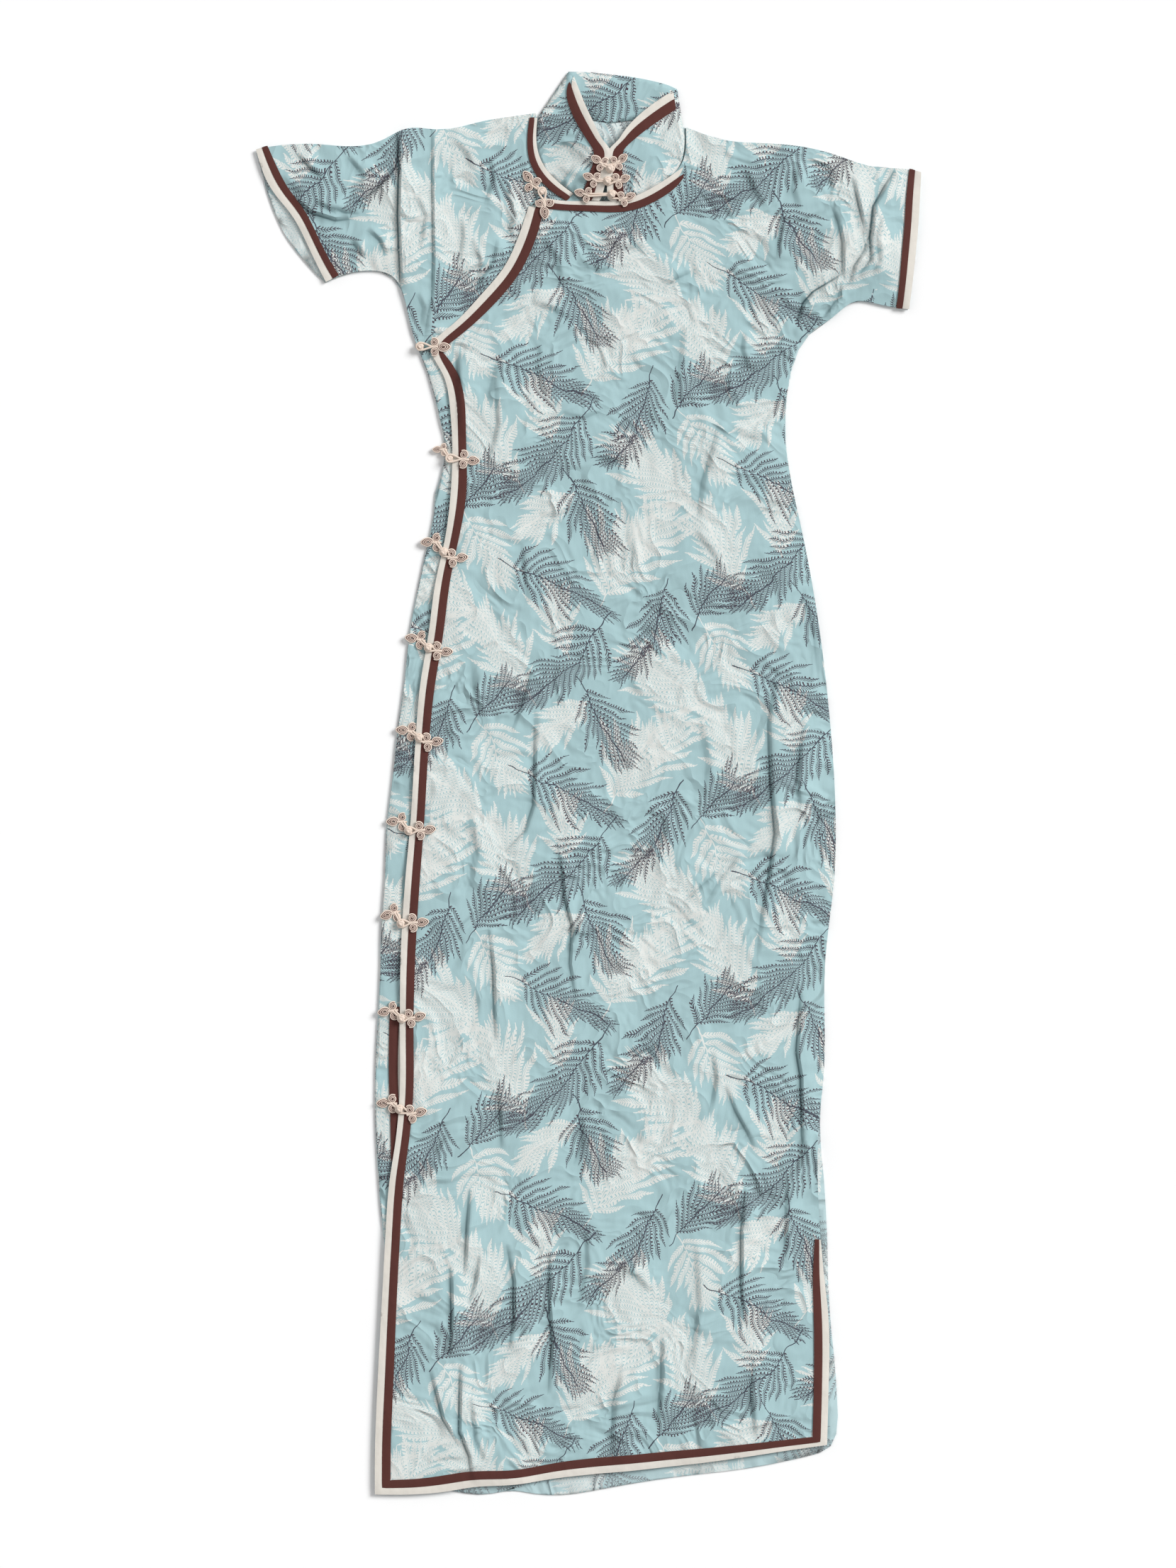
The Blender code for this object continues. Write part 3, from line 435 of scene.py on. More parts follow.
class StageSettings(bpy.types.PropertyGroup):
    """Camera and light."""

    height: bpy.props.FloatProperty(
        name="Camera height", description="Above what the dress lies on", unit="LENGTH", default=5.0
    )
    view: bpy.props.FloatProperty(
        name="View height", description="What the camera takes in, up the dress",
        unit="LENGTH", default=1.4378,
    )
    key: bpy.props.FloatProperty(name="Key light", description="Strength from the right", default=2.95)
    side: bpy.props.FloatProperty(name="Side light", description="Strength from the left", default=0.40)
    fill: bpy.props.FloatProperty(name="Fill light", description="Sky strength", default=0.42)


class CheongsamSettings(bpy.types.PropertyGroup):
    """Everything that a user would change."""

    crepe: bpy.props.PointerProperty(type=PrintedCrepe)
    trims: bpy.props.PointerProperty(type=BiasTrims)
    frogs: bpy.props.PointerProperty(type=CoiledFrogs)
    stage: bpy.props.PointerProperty(type=StageSettings)


def settings():
    """The sizes and colours that the scene holds."""
    return bpy.context.scene.cheongsam


# Materials


def maths(operation):
    """A method that adds a Math node."""

    def method(self, *others):
        return self.nodes.add("Math", {"operation": operation}, self, *others)

    return method


class Wire:
    """A shader socket that takes Python's operators. An expression on it adds its Math nodes."""

    def __init__(self, nodes, socket):
        self.nodes, self.socket = nodes, socket

    __add__ = __radd__ = maths("ADD")
    __sub__ = maths("SUBTRACT")
    __mul__ = __rmul__ = maths("MULTIPLY")
    __truediv__ = maths("DIVIDE")
    __pow__ = maths("POWER")
    __lt__ = maths("LESS_THAN")
    __gt__ = maths("GREATER_THAN")
    __abs__ = maths("ABSOLUTE")
    times_plus = maths("MULTIPLY_ADD")
    floor = maths("FLOOR")
    fraction = maths("FRACT")
    sign = maths("SIGN")
    highest = maths("MAXIMUM")
    lowest = maths("MINIMUM")

    def __rsub__(self, other):
        return self.nodes.add("Math", {"operation": "SUBTRACT"}, other, self)

    def __rtruediv__(self, other):
        return self.nodes.add("Math", {"operation": "DIVIDE"}, other, self)

    def clamped(self):
        return self.nodes.add("Math", {"operation": "ADD", "use_clamp": True}, self, 0.0)

    def dot(self, vector):
        return self.nodes.vector("DOT_PRODUCT", self, vector, out="Value")


class Nodes:
    """The nodes of one material."""

    def __init__(self, name, roughness, specular=0.3, sheen=0.0):
        self.material = bpy.data.materials.new(name)
        self.material.use_nodes = True
        self.tree = self.material.node_tree
        self.shader = self.tree.nodes["Principled BSDF"]
        for socket, value in (
            ("Roughness", roughness), ("Specular IOR Level", specular),
            ("Sheen Weight", sheen), ("Sheen Roughness", 0.45), ("Metallic", 0.0),
        ):
            self.shader.inputs[socket].default_value = value

    def add(self, kind, options, *values, out=0, **named):
        """A node of any kind: its options are set first, then its sockets' values or links."""
        node = self.tree.nodes.new("ShaderNode" + kind)
        for option, value in options.items():
            setattr(node, option, value)
        for key, value in [*enumerate(values), *((k.replace("_", " "), v) for k, v in named.items())]:
            if isinstance(value, Wire):
                self.tree.links.new(value.socket, node.inputs[key])
            elif value is not None:
                node.inputs[key].default_value = value
        return Wire(self, node.outputs[out])

    def mix(self, share, below, above):
        """Two colours, or wires of them, by a share."""
        colours = [c if isinstance(c, Wire) else (*c[:3], 1.0) for c in (below, above)]
        return self.add("Mix", {"data_type": "RGBA"}, share, *[None] * 5, *colours, out=2)

    def vector(self, operation, *values, out=0):
        return self.add("VectorMath", {"operation": operation}, *values, out=out)

    def mapped(self, place, scale, turn=0.0):
        """A place turned across the cloth, and scaled."""
        return self.add("Mapping", {}, place, None, (0, 0, turn), scale)

    def noise(self, place, scale, detail=2.0, out=0, **more):
        return self.add("TexNoise", {}, Vector=place, Scale=scale, Detail=detail, out=out, **more)

    def bump(self, height, distance, strength=1.0, normal=None):
        return self.add("Bump", {}, Height=height, Distance=distance, Strength=strength, Normal=normal)

    def feed(self, **sockets):
        for name, wire in sockets.items():
            self.tree.links.new(wire.socket, self.shader.inputs[name.replace("_", " ")])


def twist_of(a, b):
    """The area that two steps span, m2 or mm2."""
    return a.x * b.y - a.y * b.x


def frond(nodes, cells, row, leaflets, seed):
    """(print, ribs): 1 where a frond and where its ribs are, from the place in cells of the repeat."""
    x, y, way, length, left, right, first, last, step, bend, curl, tail = row
    half_width, leaflet_step, filled, rib_width, stem_width = leaflets
    across, down = Vector(REPEAT_ACROSS), Vector(REPEAT_DOWN)
    start, forward = Vector((x, y)), Vector((math.cos(math.radians(way)), math.sin(math.radians(way))))
    sideways = Vector((-forward.y, forward.x))
    middle = start + forward * (length - tail) * 0.5
    twist = twist_of(across, down)
    cell = Vector((twist_of(middle, down) / twist, twist_of(across, middle) / twist, 1.0))
    reach = Vector((0.5, 0.5, 0.5))
    near = nodes.vector("WRAP", cells, cell + reach, cell - reach)
    u = near.dot((across.dot(forward), down.dot(forward), -start.dot(forward)))
    v = near.dot((across.dot(sideways), down.dot(sideways), -start.dot(sideways)))
    if bend:
        v = (u * u).times_plus(-bend, v)
    side, off = v.sign(), abs(v)
    # The branches fan out: each leaves the stem more steeply than the one before
    lean = 1 / math.tan(math.radians(first))
    fan = (1 / math.tan(math.radians(last)) - lean) / length
    spreading = off.times_plus(fan, 1.0)
    back = (u - off * off.times_plus(curl, lean)) / spreading
    number = (side * 0.22).times_plus(1.0, back / step)
    branch = number.floor()
    steepness = off.times_plus(1.5 * curl, back.times_plus(fan, lean))
    stretch = (steepness * steepness + 1.0) ** 0.5
    aside = abs(number - branch - 0.5) * step * spreading / stretch
    along = off * stretch
    luck = nodes.add(
        "TexWhiteNoise", {"noise_dimensions": "1D"}, W=side.times_plus(0.37, branch) + seed * 11.3
    )
    rest = back.times_plus(-1 / length, 1.0)
    # A branch's reach: less near the stem's two ends, and a little different for each
    spread = side.times_plus((left - right) / 2, (left + right) / 2)
    begun = branch.times_plus(0.2, 0.66).lowest(1.0)
    tips = spread * begun * (rest.highest(0.0) ** 0.55) * luck.times_plus(0.65, 0.6)
    # It is slim at its own two ends
    spare = tips - along
    width = (spare * 0.24).lowest(along.times_plus(0.5, 0.8)).lowest(half_width)
    leaflet = (aside.times_plus(-1.15 / leaflet_step, along / leaflet_step)).fraction() < filled
    inside = (branch > -0.5) * (rest > 0.0)
    ribs = (aside < rib_width) * (spare > 0.0) * inside
    stem = (off < stem_width) * (u > -tail) * (u < length * 0.93)
    return (leaflet * (aside < width) * inside).highest(ribs).highest(stem), ribs.highest(stem)


def fern_print(nodes, place):
    """(white, dark, ribs of the dark): where each is, from a place in metres on the flat cloth."""
    moved = place
    for scale, detail, swing in ((26.0, 2.0, 0.018), (95.0, 1.0, 0.003)):
        wander = nodes.vector("SUBTRACT", nodes.noise(place, scale, detail, out="Color"), (0.5, 0.5, 0.5))
        moved = nodes.vector("MULTIPLY_ADD", wander, (swing, swing, 0.0), moved)
    across, down = Vector(REPEAT_ACROSS) * MM, Vector(REPEAT_DOWN) * MM
    twist = twist_of(across, down)
    cells = nodes.add(
        "CombineXYZ", {}, moved.dot((down.y / twist, -down.x / twist, 0)),
        moved.dot((-across.y / twist, across.x / twist, 0)), 1.0,
    )

    def all_of(rows, leaflets, seed):
        drawn = [frond(nodes, cells, row, leaflets, seed + i) for i, row in enumerate(rows)]
        printed, ribs = drawn[0]
        for one, its_ribs in drawn[1:]:
            printed, ribs = printed.highest(one), ribs.highest(its_ribs)
        return printed, ribs

    return all_of(WHITE_FRONDS, WHITE_LEAFLETS, 1)[0], *all_of(DARK_FRONDS, DARK_LEAFLETS, 20)


def crepe_relief(nodes, place):
    """Plain-weave crepe with crumples and small wrinkles, as a normal."""
    patches = nodes.noise(place, 7.0, 2.0)
    soft = nodes.noise(place, 21.0, 2.0, Distortion=0.9)
    crumples = (abs(soft - 0.5) * 6.0).lowest(1.0) * patches.times_plus(-2.4, 0.4).lowest(-0.25)
    crossed = nodes.noise(nodes.mapped(place, (1.0, 0.45, 1.0), 0.5), 55.0, 2.0)
    large = nodes.bump(crumples, 0.0026, 1.0)
    middle = nodes.bump(crossed, 0.0017, 1.0, large)
    grain = nodes.noise(place, 1300.0, 1.0)
    return nodes.bump(grain, 0.00012, 0.8, middle)


def printed_crepe(name):
    """The body cloth's right side."""
    crepe = settings().crepe
    nodes = Nodes(name, 0.82, 0.22, 0.12)
    place = nodes.add("UVMap", {"uv_map": "cloth"})
    white, dark, ribs = fern_print(nodes, place)
    mottle = nodes.noise(place, 9.0, 3.0)
    slub = nodes.noise(nodes.mapped(place, (900.0, 70.0, 1.0)), 1.0, 1.0)
    deeper = [c * 0.86 for c in crepe.ground]
    colour = nodes.mix(mottle.times_plus(0.9, slub * 0.35 - 0.15).clamped(), deeper, crepe.ground)
    worn = mottle.times_plus(-0.22, 1.0)
    colour = nodes.mix(white * worn, colour, crepe.white)
    colour = nodes.mix(dark * 0.93, colour, nodes.mix(ribs, crepe.dark, crepe.ribs))
    colour = nodes.mix(0.0, colour, [0.55 * c + 0.32 for c in crepe.ground])
    colour.socket.node.name = FADE
    # Painted shade in the folds: the fold attribute mixes the colours toward their product with the fold
    # shade colour
    fold = nodes.add("Attribute", {"attribute_name": "fold"}, out="Fac")
    colour = nodes.mix(fold.clamped() * 0.95, colour, nodes.vector("MULTIPLY", colour, crepe.shade))
    nodes.feed(Base_Color=colour, Normal=crepe_relief(nodes, place))
    return nodes.material


def faded_crepe(name):
    """The body cloth's wrong side, where the same print shows through, paler."""
    made = material("crepe_right_side").copy()
    made.name = name
    made.node_tree.nodes[FADE].inputs[0].default_value = PALER
    return made


def strip_cloth(name, colour):
    """A bias strip: a fine slanted weave, a little uneven in tone."""
    nodes = Nodes(name, 0.85, 0.25, 0.15)
    place = nodes.add("TexCoord", {}, out="Object")
    tone = nodes.noise(place, 45.0, 3.0)
    turned = nodes.mapped(place, (1500.0, 1500.0, 1.0), math.radians(45))
    threads = nodes.add("TexChecker", {}, turned, Scale=1.0, out="Fac")
    shaded = nodes.mix((tone * 0.8 + threads * 0.12).clamped(), [c * 0.80 for c in colour], colour)
    puckers = nodes.noise(nodes.mapped(place, (110.0, 80.0, 1.0)), 1.0, 2.0)
    relief = nodes.bump(puckers, 0.0007, 1.0)
    nodes.feed(Base_Color=shaded, Normal=nodes.bump(tone + threads * 0.1, 0.0002, 0.6, relief))
    return nodes.material


def cord_cloth(name, colour):
    """The frogs' rolled strips: a fine grain, uneven in tone."""
    nodes = Nodes(name, 0.72, 0.3, 0.1)
    place = nodes.add("TexCoord", {}, out="Object")
    tone = nodes.noise(place, 420.0, 2.0)
    nodes.feed(
        Base_Color=nodes.mix(tone.clamped(), [c * 0.72 for c in colour], colour),
        Normal=nodes.bump(nodes.noise(place, 2200.0, 1.0), 0.0002, 0.7),
    )
    return nodes.material


def material(name):
    """One of the dress's materials, made the first time that it is asked for."""
    if name not in bpy.data.materials:
        trims, frogs = settings().trims, settings().frogs
        maker, *colour = {
            "crepe_right_side": (printed_crepe,),
            "crepe_wrong_side": (faded_crepe,),
            "cream_strip": (strip_cloth, trims.cream),
            "brown_strip": (strip_cloth, trims.brown),
            "frog_cord": (cord_cloth, frogs.cord),
            "frog_line": (cord_cloth, frogs.line),
        }[name]
        maker(name, *colour)
    return bpy.data.materials[name]


# Cloth


def node_copy(name):
    """A merged copy of a solid's mesh."""
    bm = bmesh.new()
    bm.from_mesh(frame["nodes"][name].data)
    bmesh.ops.remove_doubles(bm, verts=bm.verts[:], dist=MERGE)
    bm.normal_update()
    return bm


def crease_lines(rows):
    """Each crease as its height, where its steep side's foot and crest are across its line, the
    width of its other side, 1 or -1 for the side of the line that the light is on, and its points.
    Metres."""
    lines = []
    for height, left, right, *places in rows:
        points = np.array(places, float).reshape(-1, 2) * MM
        along = points[-1] - points[0]
        narrow, wide = min(left, right) * STEEPER, float(max(left, right))
        upright = abs(along[1]) > abs(along[0])
        crest = 0.0 if (left < right) == upright else narrow
        bright = 1.0 if along[0] * LIGHT_FROM[1] - along[1] * LIGHT_FROM[0] > 0 else -1.0
        lines.append((height * MM, (crest - narrow) * MM, crest * MM, wide * MM, bright, points))
    return lines


def ease(share):
    """0 to 1, slow at both ends."""
    share = np.clip(share, 0.0, 1.0)
    return share * share * (3 - 2 * share)


def crease_rise(lines, places):
    """(rise, painted shade): how far the creases lift each place, and how much shade is painted into the
    cloth's colour there because it lies in the fold at a steep side's foot."""
    rise, painted_fold_shadow = np.zeros(len(places)), np.zeros(len(places))
    for height, foot, crest, wide, bright, points in lines:
        runs = points[1:] - points[:-1]
        lengths = np.hypot(runs[:, 0], runs[:, 1])
        starts = np.concatenate([[0.0], np.cumsum(lengths)])[:-1]
        total = lengths.sum()
        nearest = np.full(len(places), np.inf)
        signed, share = np.zeros(len(places)), np.zeros(len(places))
        for start, run, length, before in zip(points, runs, lengths, starts):
            offset = places - start
            t = np.clip(offset @ run / length**2, 0.0, 1.0)
            away = offset - t[:, None] * run
            distance = np.hypot(away[:, 0], away[:, 1])
            closer = distance < nearest
            nearest = np.where(closer, distance, nearest)
            turn = run[0] * offset[:, 1] - run[1] * offset[:, 0]
            signed = np.where(closer, np.sign(turn) * distance, signed)
            share = np.where(closer, (before + t * length) / total, share)
        across, narrow = signed * bright, crest - foot
        ends = np.sin(np.pi * np.clip(share, 0.0, 1.0)) ** 0.6
        far = np.exp(-(np.maximum((across - crest) / wide, 0.0) ** 1.5))
        slope = np.where(across < crest, ease((across - foot) / narrow), far)
        trough = np.exp(-(((across - foot + narrow) / narrow) ** 2))
        rise += height * ends * (slope - TROUGH * trough)
        # A fine line of painted shade just inside the foot, and a soft one round it
        line = np.exp(-(((across - foot - 0.05 * narrow) / (0.12 * narrow + 0.0004)) ** 2))
        soft = np.exp(-(((across - foot) / (0.8 * narrow)) ** 2))
        depth = min(height / PAINTED_SHADE_HEIGHT, 1.2) * min(PAINTED_SHADE_WIDTH / narrow, 1.0)
        dark = PAINTED_SHADE_LINE * line * depth**1.5 + (1 - PAINTED_SHADE_LINE) * soft * depth
        painted_fold_shadow = np.maximum(painted_fold_shadow, ends * dark)
    return rise, painted_fold_shadow


def tree_of(places):
    """A tree that finds the nearest of some places, heights left out."""
    tree = KDTree(len(places))
    for i, place in enumerate(places):
        tree.insert((place[0], place[1], 0), i)
    tree.balance()
    return tree


def stretches(points, step):
    """Each stretch of a line as its places in even steps, and the way to its left."""
    for a, b in zip(points, points[1:]):
        length = float(np.hypot(*(b - a)))
        count = max(1, round(length / step))
        leftwards = np.array((a[1] - b[1], b[0] - a[0])) / length
        yield [a + (b - a) * k / count for k in range(count + 1)], leftwards


def crease_tree(lines, step=0.0025):
    """A tree of points along the creases, to tell how near one is."""
    marks = []
    for *_, points in lines:
        for places, _ in stretches(points, step):
            marks += places
    return tree_of(marks)


def refine(bm, longest, hidden, rounds):
    """Splits edges until none is longer than what is wanted where it lies, or than hidden where no
    face beside it is turned up, in so many rounds at most."""
    for _ in range(rounds):
        bm.normal_update()
        long = []
        for edge in bm.edges:
            length = edge.calc_length()
            if length <= hidden and not any(face.normal.z > 0.3 for face in edge.link_faces):
                continue
            if length > longest((edge.verts[0].co + edge.verts[1].co) / 2):
                long.append(edge)
        if not long:
            return
        bmesh.ops.subdivide_edges(bm, edges=long, cuts=1)
        bmesh.ops.triangulate(bm, faces=[face for face in bm.faces if len(face.verts) > 3])


def sharp_edges(bm):
    """The edges where a side and a wall meet."""
    return {edge for edge in bm.edges if len(edge.link_faces) == 2 and edge.calc_face_angle(0.0) > WALL_TURN}


def smooth_heights(bm, rounds):
    """Evens out the heights inside a panel, and leaves its walls alone."""
    sharp = sharp_edges(bm)
    inner = [vert for vert in bm.verts if not any(edge in sharp for edge in vert.link_edges)]
    for _ in range(rounds):
        bmesh.ops.smooth_vert(
            bm, verts=inner, factor=0.5, use_axis_x=False, use_axis_y=False, use_axis_z=True
        )


def rim_edges(bm):
    """The edges between a side and a wall."""
    found = set()
    for edge in bm.edges:
        levels = sorted(abs(face.normal.z) for face in edge.link_faces)
        if len(levels) == 2 and levels[0] < 0.5 <= levels[1]:
            found.add(edge)
    return found


def round_outline(bm):
    """Rounds the slight bends of a panel's outline, and keeps its corners."""
    rim, chain = rim_edges(bm), {}
    for vert in bm.verts:
        ends = [edge.other_vert(vert) for edge in vert.link_edges if edge in rim]
        if len(ends) != 2:
            continue
        a, b = (end.co.xy - vert.co.xy for end in ends)
        if a.length > 1e-5 and b.length > 1e-5 and a.angle(-b) < CORNER:
            chain[vert] = ends
    if not chain:
        return
    step = sum((a.co.xy - b.co.xy).length / 2 for a, b in chain.values()) / len(chain)
    for _ in range(min(90, max(2, round(2 * (OUTLINE_REACH / step) ** 2)))):
        moved = {vert: (vert.co.xy * 2 + a.co.xy + b.co.xy) / 4 for vert, (a, b) in chain.items()}
        for vert, place in moved.items():
            vert.co.xy = place


def wall_tree(bm):
    """A tree of the points along a panel's walls."""
    return tree_of([vert.co for vert in {vert for edge in sharp_edges(bm) for vert in edge.verts}])


def shift_at(shifts, x):
    """The print's shift at a place across the dress, in metres."""
    found = shifts[0]
    for row in shifts:
        if x >= row[0] * MM:
            found = row
    return found[1] * MM, found[2] * MM


def finish_mesh(bm, name, sharp):
    """A piece from a finished mesh, smooth but for its sharp edges, degrees."""
    mesh = bpy.data.meshes.new(name)
    bm.to_mesh(mesh)
    bm.free()
    mesh.shade_smooth()
    mesh.set_sharp_from_angle(angle=math.radians(sharp))
    made = bpy.data.objects.new(name, mesh)
    bpy.context.scene.collection.objects.link(made)
    return made


def loops_of(name):
    """The loops of the outline of a solid's upper side, anticlockwise, as arrays of x, y."""
    bm = node_copy(name)
    bm.verts.index_update()
    follows = {}
    for edge in bm.edges:
        tops = [loop for loop in edge.link_loops if loop.face.normal.z > 0.5]
        if len(tops) == 1:
            follows[tops[0].vert.index] = tops[0].link_loop_next.vert.index
    places = [tuple(vert.co.xy) for vert in bm.verts]
    bm.free()
    loops = []
    while follows:
        start, at = follows.popitem()
        ring = [start]
        while at != start:
            ring.append(at)
            at = follows.pop(at)
        loops.append(square_hem(np.array([places[i] for i in ring])))
    return loops


def turns_of(ring):
    """The angle that a loop turns by at each of its points, and the way from it to the next."""
    back, ahead = ring - np.roll(ring, 1, axis=0), np.roll(ring, -1, axis=0) - ring
    turned = np.arctan2(back[:, 0] * ahead[:, 1] - back[:, 1] * ahead[:, 0], (back * ahead).sum(axis=1))
    return turned, ahead


def square_hem(ring):
    """A loop with the two bends of each hem corner drawn out to one point."""
    turned, _ = turns_of(ring)
    bent = (abs(turned) > HEM_BEND) & (ring[:, 1] < HEM_CORNERS)
    shift = int(np.argmin(bent))
    ring, turned, bent = np.roll(ring, -shift, axis=0), np.roll(turned, -shift), np.roll(bent, -shift)
    kept, i = [], 0
    while i < len(ring):
        if bent[i] and i + 1 < len(ring) and bent[i + 1] and turned[i] * turned[i + 1] > 0:
            before, after = ring[i - 1], ring[(i + 2) % len(ring)]
            along, beyond = ring[i] - before, ring[i + 1] - after
            reach = np.linalg.solve(np.column_stack([along, -beyond]), after - before)[0]
            kept.append(before + along * reach)
            i += 2
        else:
            kept.append(ring[i])
            i += 1
    return np.array(kept)


def cut_off(ring, most_x):
    """A loop without what lies beyond an x."""
    kept = []
    for a, b in zip(ring, np.roll(ring, -1, axis=0)):
        if a[0] <= most_x:
            kept.append(a)
        if (a[0] <= most_x) != (b[0] <= most_x):
            kept.append(a + (b - a) * (most_x - a[0]) / (b[0] - a[0]))
    return np.array(kept)


def rounded(ring, longest, reach, spread_by=0.0):
    """A loop in short steps, its slight bends rounded, its corners kept, and widened."""
    points = []
    for a, b in zip(ring, np.roll(ring, -1, axis=0)):
        count = max(1, math.ceil(float(np.hypot(*(b - a))) / longest))
        points += [a + (b - a) * k / count for k in range(count)]
    kept = [points[0]]
    for point in points[1:]:
        if np.hypot(*(point - kept[-1])) > SHORTEST:
            kept.append(point)
    points = np.array(kept)
    turned, ahead = turns_of(points)
    bends = (abs(turned) < CORNER)[:, None]
    step = float(np.hypot(ahead[:, 0], ahead[:, 1]).mean())
    for _ in range(min(120, max(2, round(2 * (reach / step) ** 2)))):
        near = np.roll(points, 1, axis=0) + np.roll(points, -1, axis=0)
        points = np.where(bends, (points * 2 + near) / 4, points)
    across = np.roll(points, -1, axis=0) - np.roll(points, 1, axis=0)
    across /= np.hypot(across[:, 0], across[:, 1])[:, None]
    return points + np.column_stack([across[:, 1], -across[:, 0]]) * spread_by


def closed_sheet(rings, inner, heights):
    """A closed mesh from its outline's loops, some places inside and its two sides' heights."""
    corners, borders = [], []
    for ring in rings:
        first = len(corners)
        borders += [(first + i, first + (i + 1) % len(ring)) for i in range(len(ring))]
        corners += [Vector(place) for place in ring]
    near = tree_of(corners)
    inner = [place for place in inner if near.find((*place, 0))[2] > RIM_GAP]
    flat, _, triangles, *_ = delaunay_2d_cdt(corners + inner, borders, [], 1, 1e-7)
    bm = bmesh.new()
    pairs, sides = {}, set()
    for i in sorted({i for triangle in triangles for i in triangle}):
        low, high = heights(*flat[i], near.find((*flat[i], 0))[2])
        pairs[i] = bm.verts.new((*flat[i], high)), bm.verts.new((*flat[i], low))
    for triangle in triangles:
        bm.faces.new([pairs[i][0] for i in triangle])
        bm.faces.new([pairs[i][1] for i in reversed(triangle)])
        sides |= {(triangle[k - 1], triangle[k]) for k in range(len(triangle))}
    for a, b in sorted(sides):
        if (b, a) not in sides:
            bm.faces.new((pairs[b][0], pairs[a][0], pairs[a][1], pairs[b][1]))
    bm.normal_update()
    return bm


def crease_places(lines):
    """Candidates for mesh points in rows along every crease, each with the least gap to others."""
    first, later = [], []
    for _, foot, crest, wide, bright, points in lines:
        narrow = crest - foot
        rows = [(foot, first), (foot + 0.5 * narrow, first), (crest, first)]
        rows += [(foot + k * narrow, later) for k in (-1.7, -0.9, -0.35, 0.25, 0.75)]
        rows += [(crest + k * wide, later) for k in (0.15, 0.35, 0.6, 0.95, 1.4)]
        for places, leftwards in stretches(points, CREASE_STEP):
            sideways = leftwards * bright
            for place in places:
                for offset, held in rows:
                    held.append((*(place + sideways * offset), CREASE_GAP))
    return first + later


def grid_places(rings, spacing):
    """Candidates for mesh points on an even triangular grid."""
    low = np.min([ring.min(axis=0) for ring in rings], axis=0)
    high = np.max([ring.max(axis=0) for ring in rings], axis=0)
    row = spacing * math.sqrt(3) / 2
    columns, rows = int((high[0] - low[0]) / spacing) + 1, int((high[1] - low[1]) / row) + 1
    return [
        (float(low[0]) + (i + j % 2 / 2) * spacing, float(low[1]) + j * row, spacing * 0.62)
        for j in range(rows) for i in range(columns)
    ]


def spread(candidates, cell=0.0032):
    """The candidates that aren't too near one that is already kept."""
    cells, kept = {}, []
    for x, y, gap in candidates:
        i, j = int(x // cell), int(y // cell)
        if any(
            (x - u) ** 2 + (y - v) ** 2 < gap * gap
            for a in (i - 1, i, i + 1) for b in (j - 1, j, j + 1) for u, v in cells.get((a, b), ())
        ):
            continue
        cells.setdefault((i, j), []).append((x, y))
        kept.append(Vector((x, y)))
    return kept


def side_height(surface, x, y, up):
    """The height of a closed surface's upper or lower side at a place, or just beside it."""
    sign = 1 if up else -1
    for reach in (0.0, 0.0008, 0.0016, 0.0032):
        hits = []
        for k in range(8 if reach else 1):
            angle = k * math.pi / 4
            beside = Vector((x + reach * math.cos(angle), y + reach * math.sin(angle), sign))
            hits.append(surface.ray_cast(beside, Vector((0, 0, -sign)))[0])
        found = [hit.z for hit in hits if hit is not None]
        if found:
            return sum(found) / len(found)
    return surface.find_nearest(Vector((x, y, 0.004)))[0].z


def crease(bm, lines, fullness=0.0):
    """Lifts a panel's cloth into its creases, and paints shade into the colour of its folds."""
    crepe = settings().crepe
    bm.normal_update()
    rim = wall_tree(bm)
    places = np.array([vert.co.to_tuple() for vert in bm.verts])
    inward = np.array([rim.find((x, y, 0))[2] for x, y, _ in places])
    rise, painted_fold_shadow = crease_rise(lines, places[:, :2])
    rise *= crepe.crease_depth * (RIM_SHARE + (1 - RIM_SHARE) * ease(inward / RIM_REACH))
    rise += crepe.fullness * fullness * ease(inward / FULLNESS_REACH)
    rise = np.maximum(rise, -DEEPEST)
    # The fold attribute holds each place's painted shade, by which the cloth's material darkens its colours
    layer = bm.verts.layers.float.new("fold")
    for vert, lift, dark in zip(bm.verts, rise, painted_fold_shadow):
        vert.co.z += float(lift)
        vert[layer] = float(dark)


def panel(name, creases, rounds, warp=None, coarse=1.0):
    """A panel on its solid: refined, its heights evened out in some rounds, and creased."""
    crepe = settings().crepe
    lines = crease_lines(creases)
    near = crease_tree(lines)
    bm = node_copy(name)
    spacing, hidden = crepe.spacing * coarse, HIDDEN_SPACING * coarse

    def by_crease(place):
        away = near.find((place.x, place.y, 0))[2]
        if away < CREASE_REACH:
            return crepe.fine_spacing * FINEST
        return crepe.fine_spacing if away < 2 * CREASE_REACH else spacing

    refine(bm, lambda place: spacing, hidden, 4)
    smooth_heights(bm, rounds)
    refine(bm, by_crease, hidden, 3)
    smooth_heights(bm, 4)
    round_outline(bm)
    if warp:
        for vert in bm.verts:
            vert.co.xy = warp(*vert.co.xy)
    crease(bm, lines)
    return bm


def creased_sheet(name, creases, fullness):
    """A panel on its solid, each side meshed anew, with rows of points along every crease."""
    crepe = settings().crepe
    lines = crease_lines(creases)
    even = node_copy(name)
    refine(even, lambda place: crepe.spacing, HIDDEN_SPACING, 4)
    smooth_heights(even, 24)
    surface = BVHTree.FromBMesh(even)
    even.free()
    rings = [rounded(ring, 0.003, OPENING_REACH) for ring in loops_of(name)]
    places = spread(crease_places(lines) + grid_places(rings, crepe.grid))
    bm = closed_sheet(rings, places, lambda x, y, inward: (
        side_height(surface, x, y, False), side_height(surface, x, y, True)
    ))
    crease(bm, lines, fullness)
    return bm


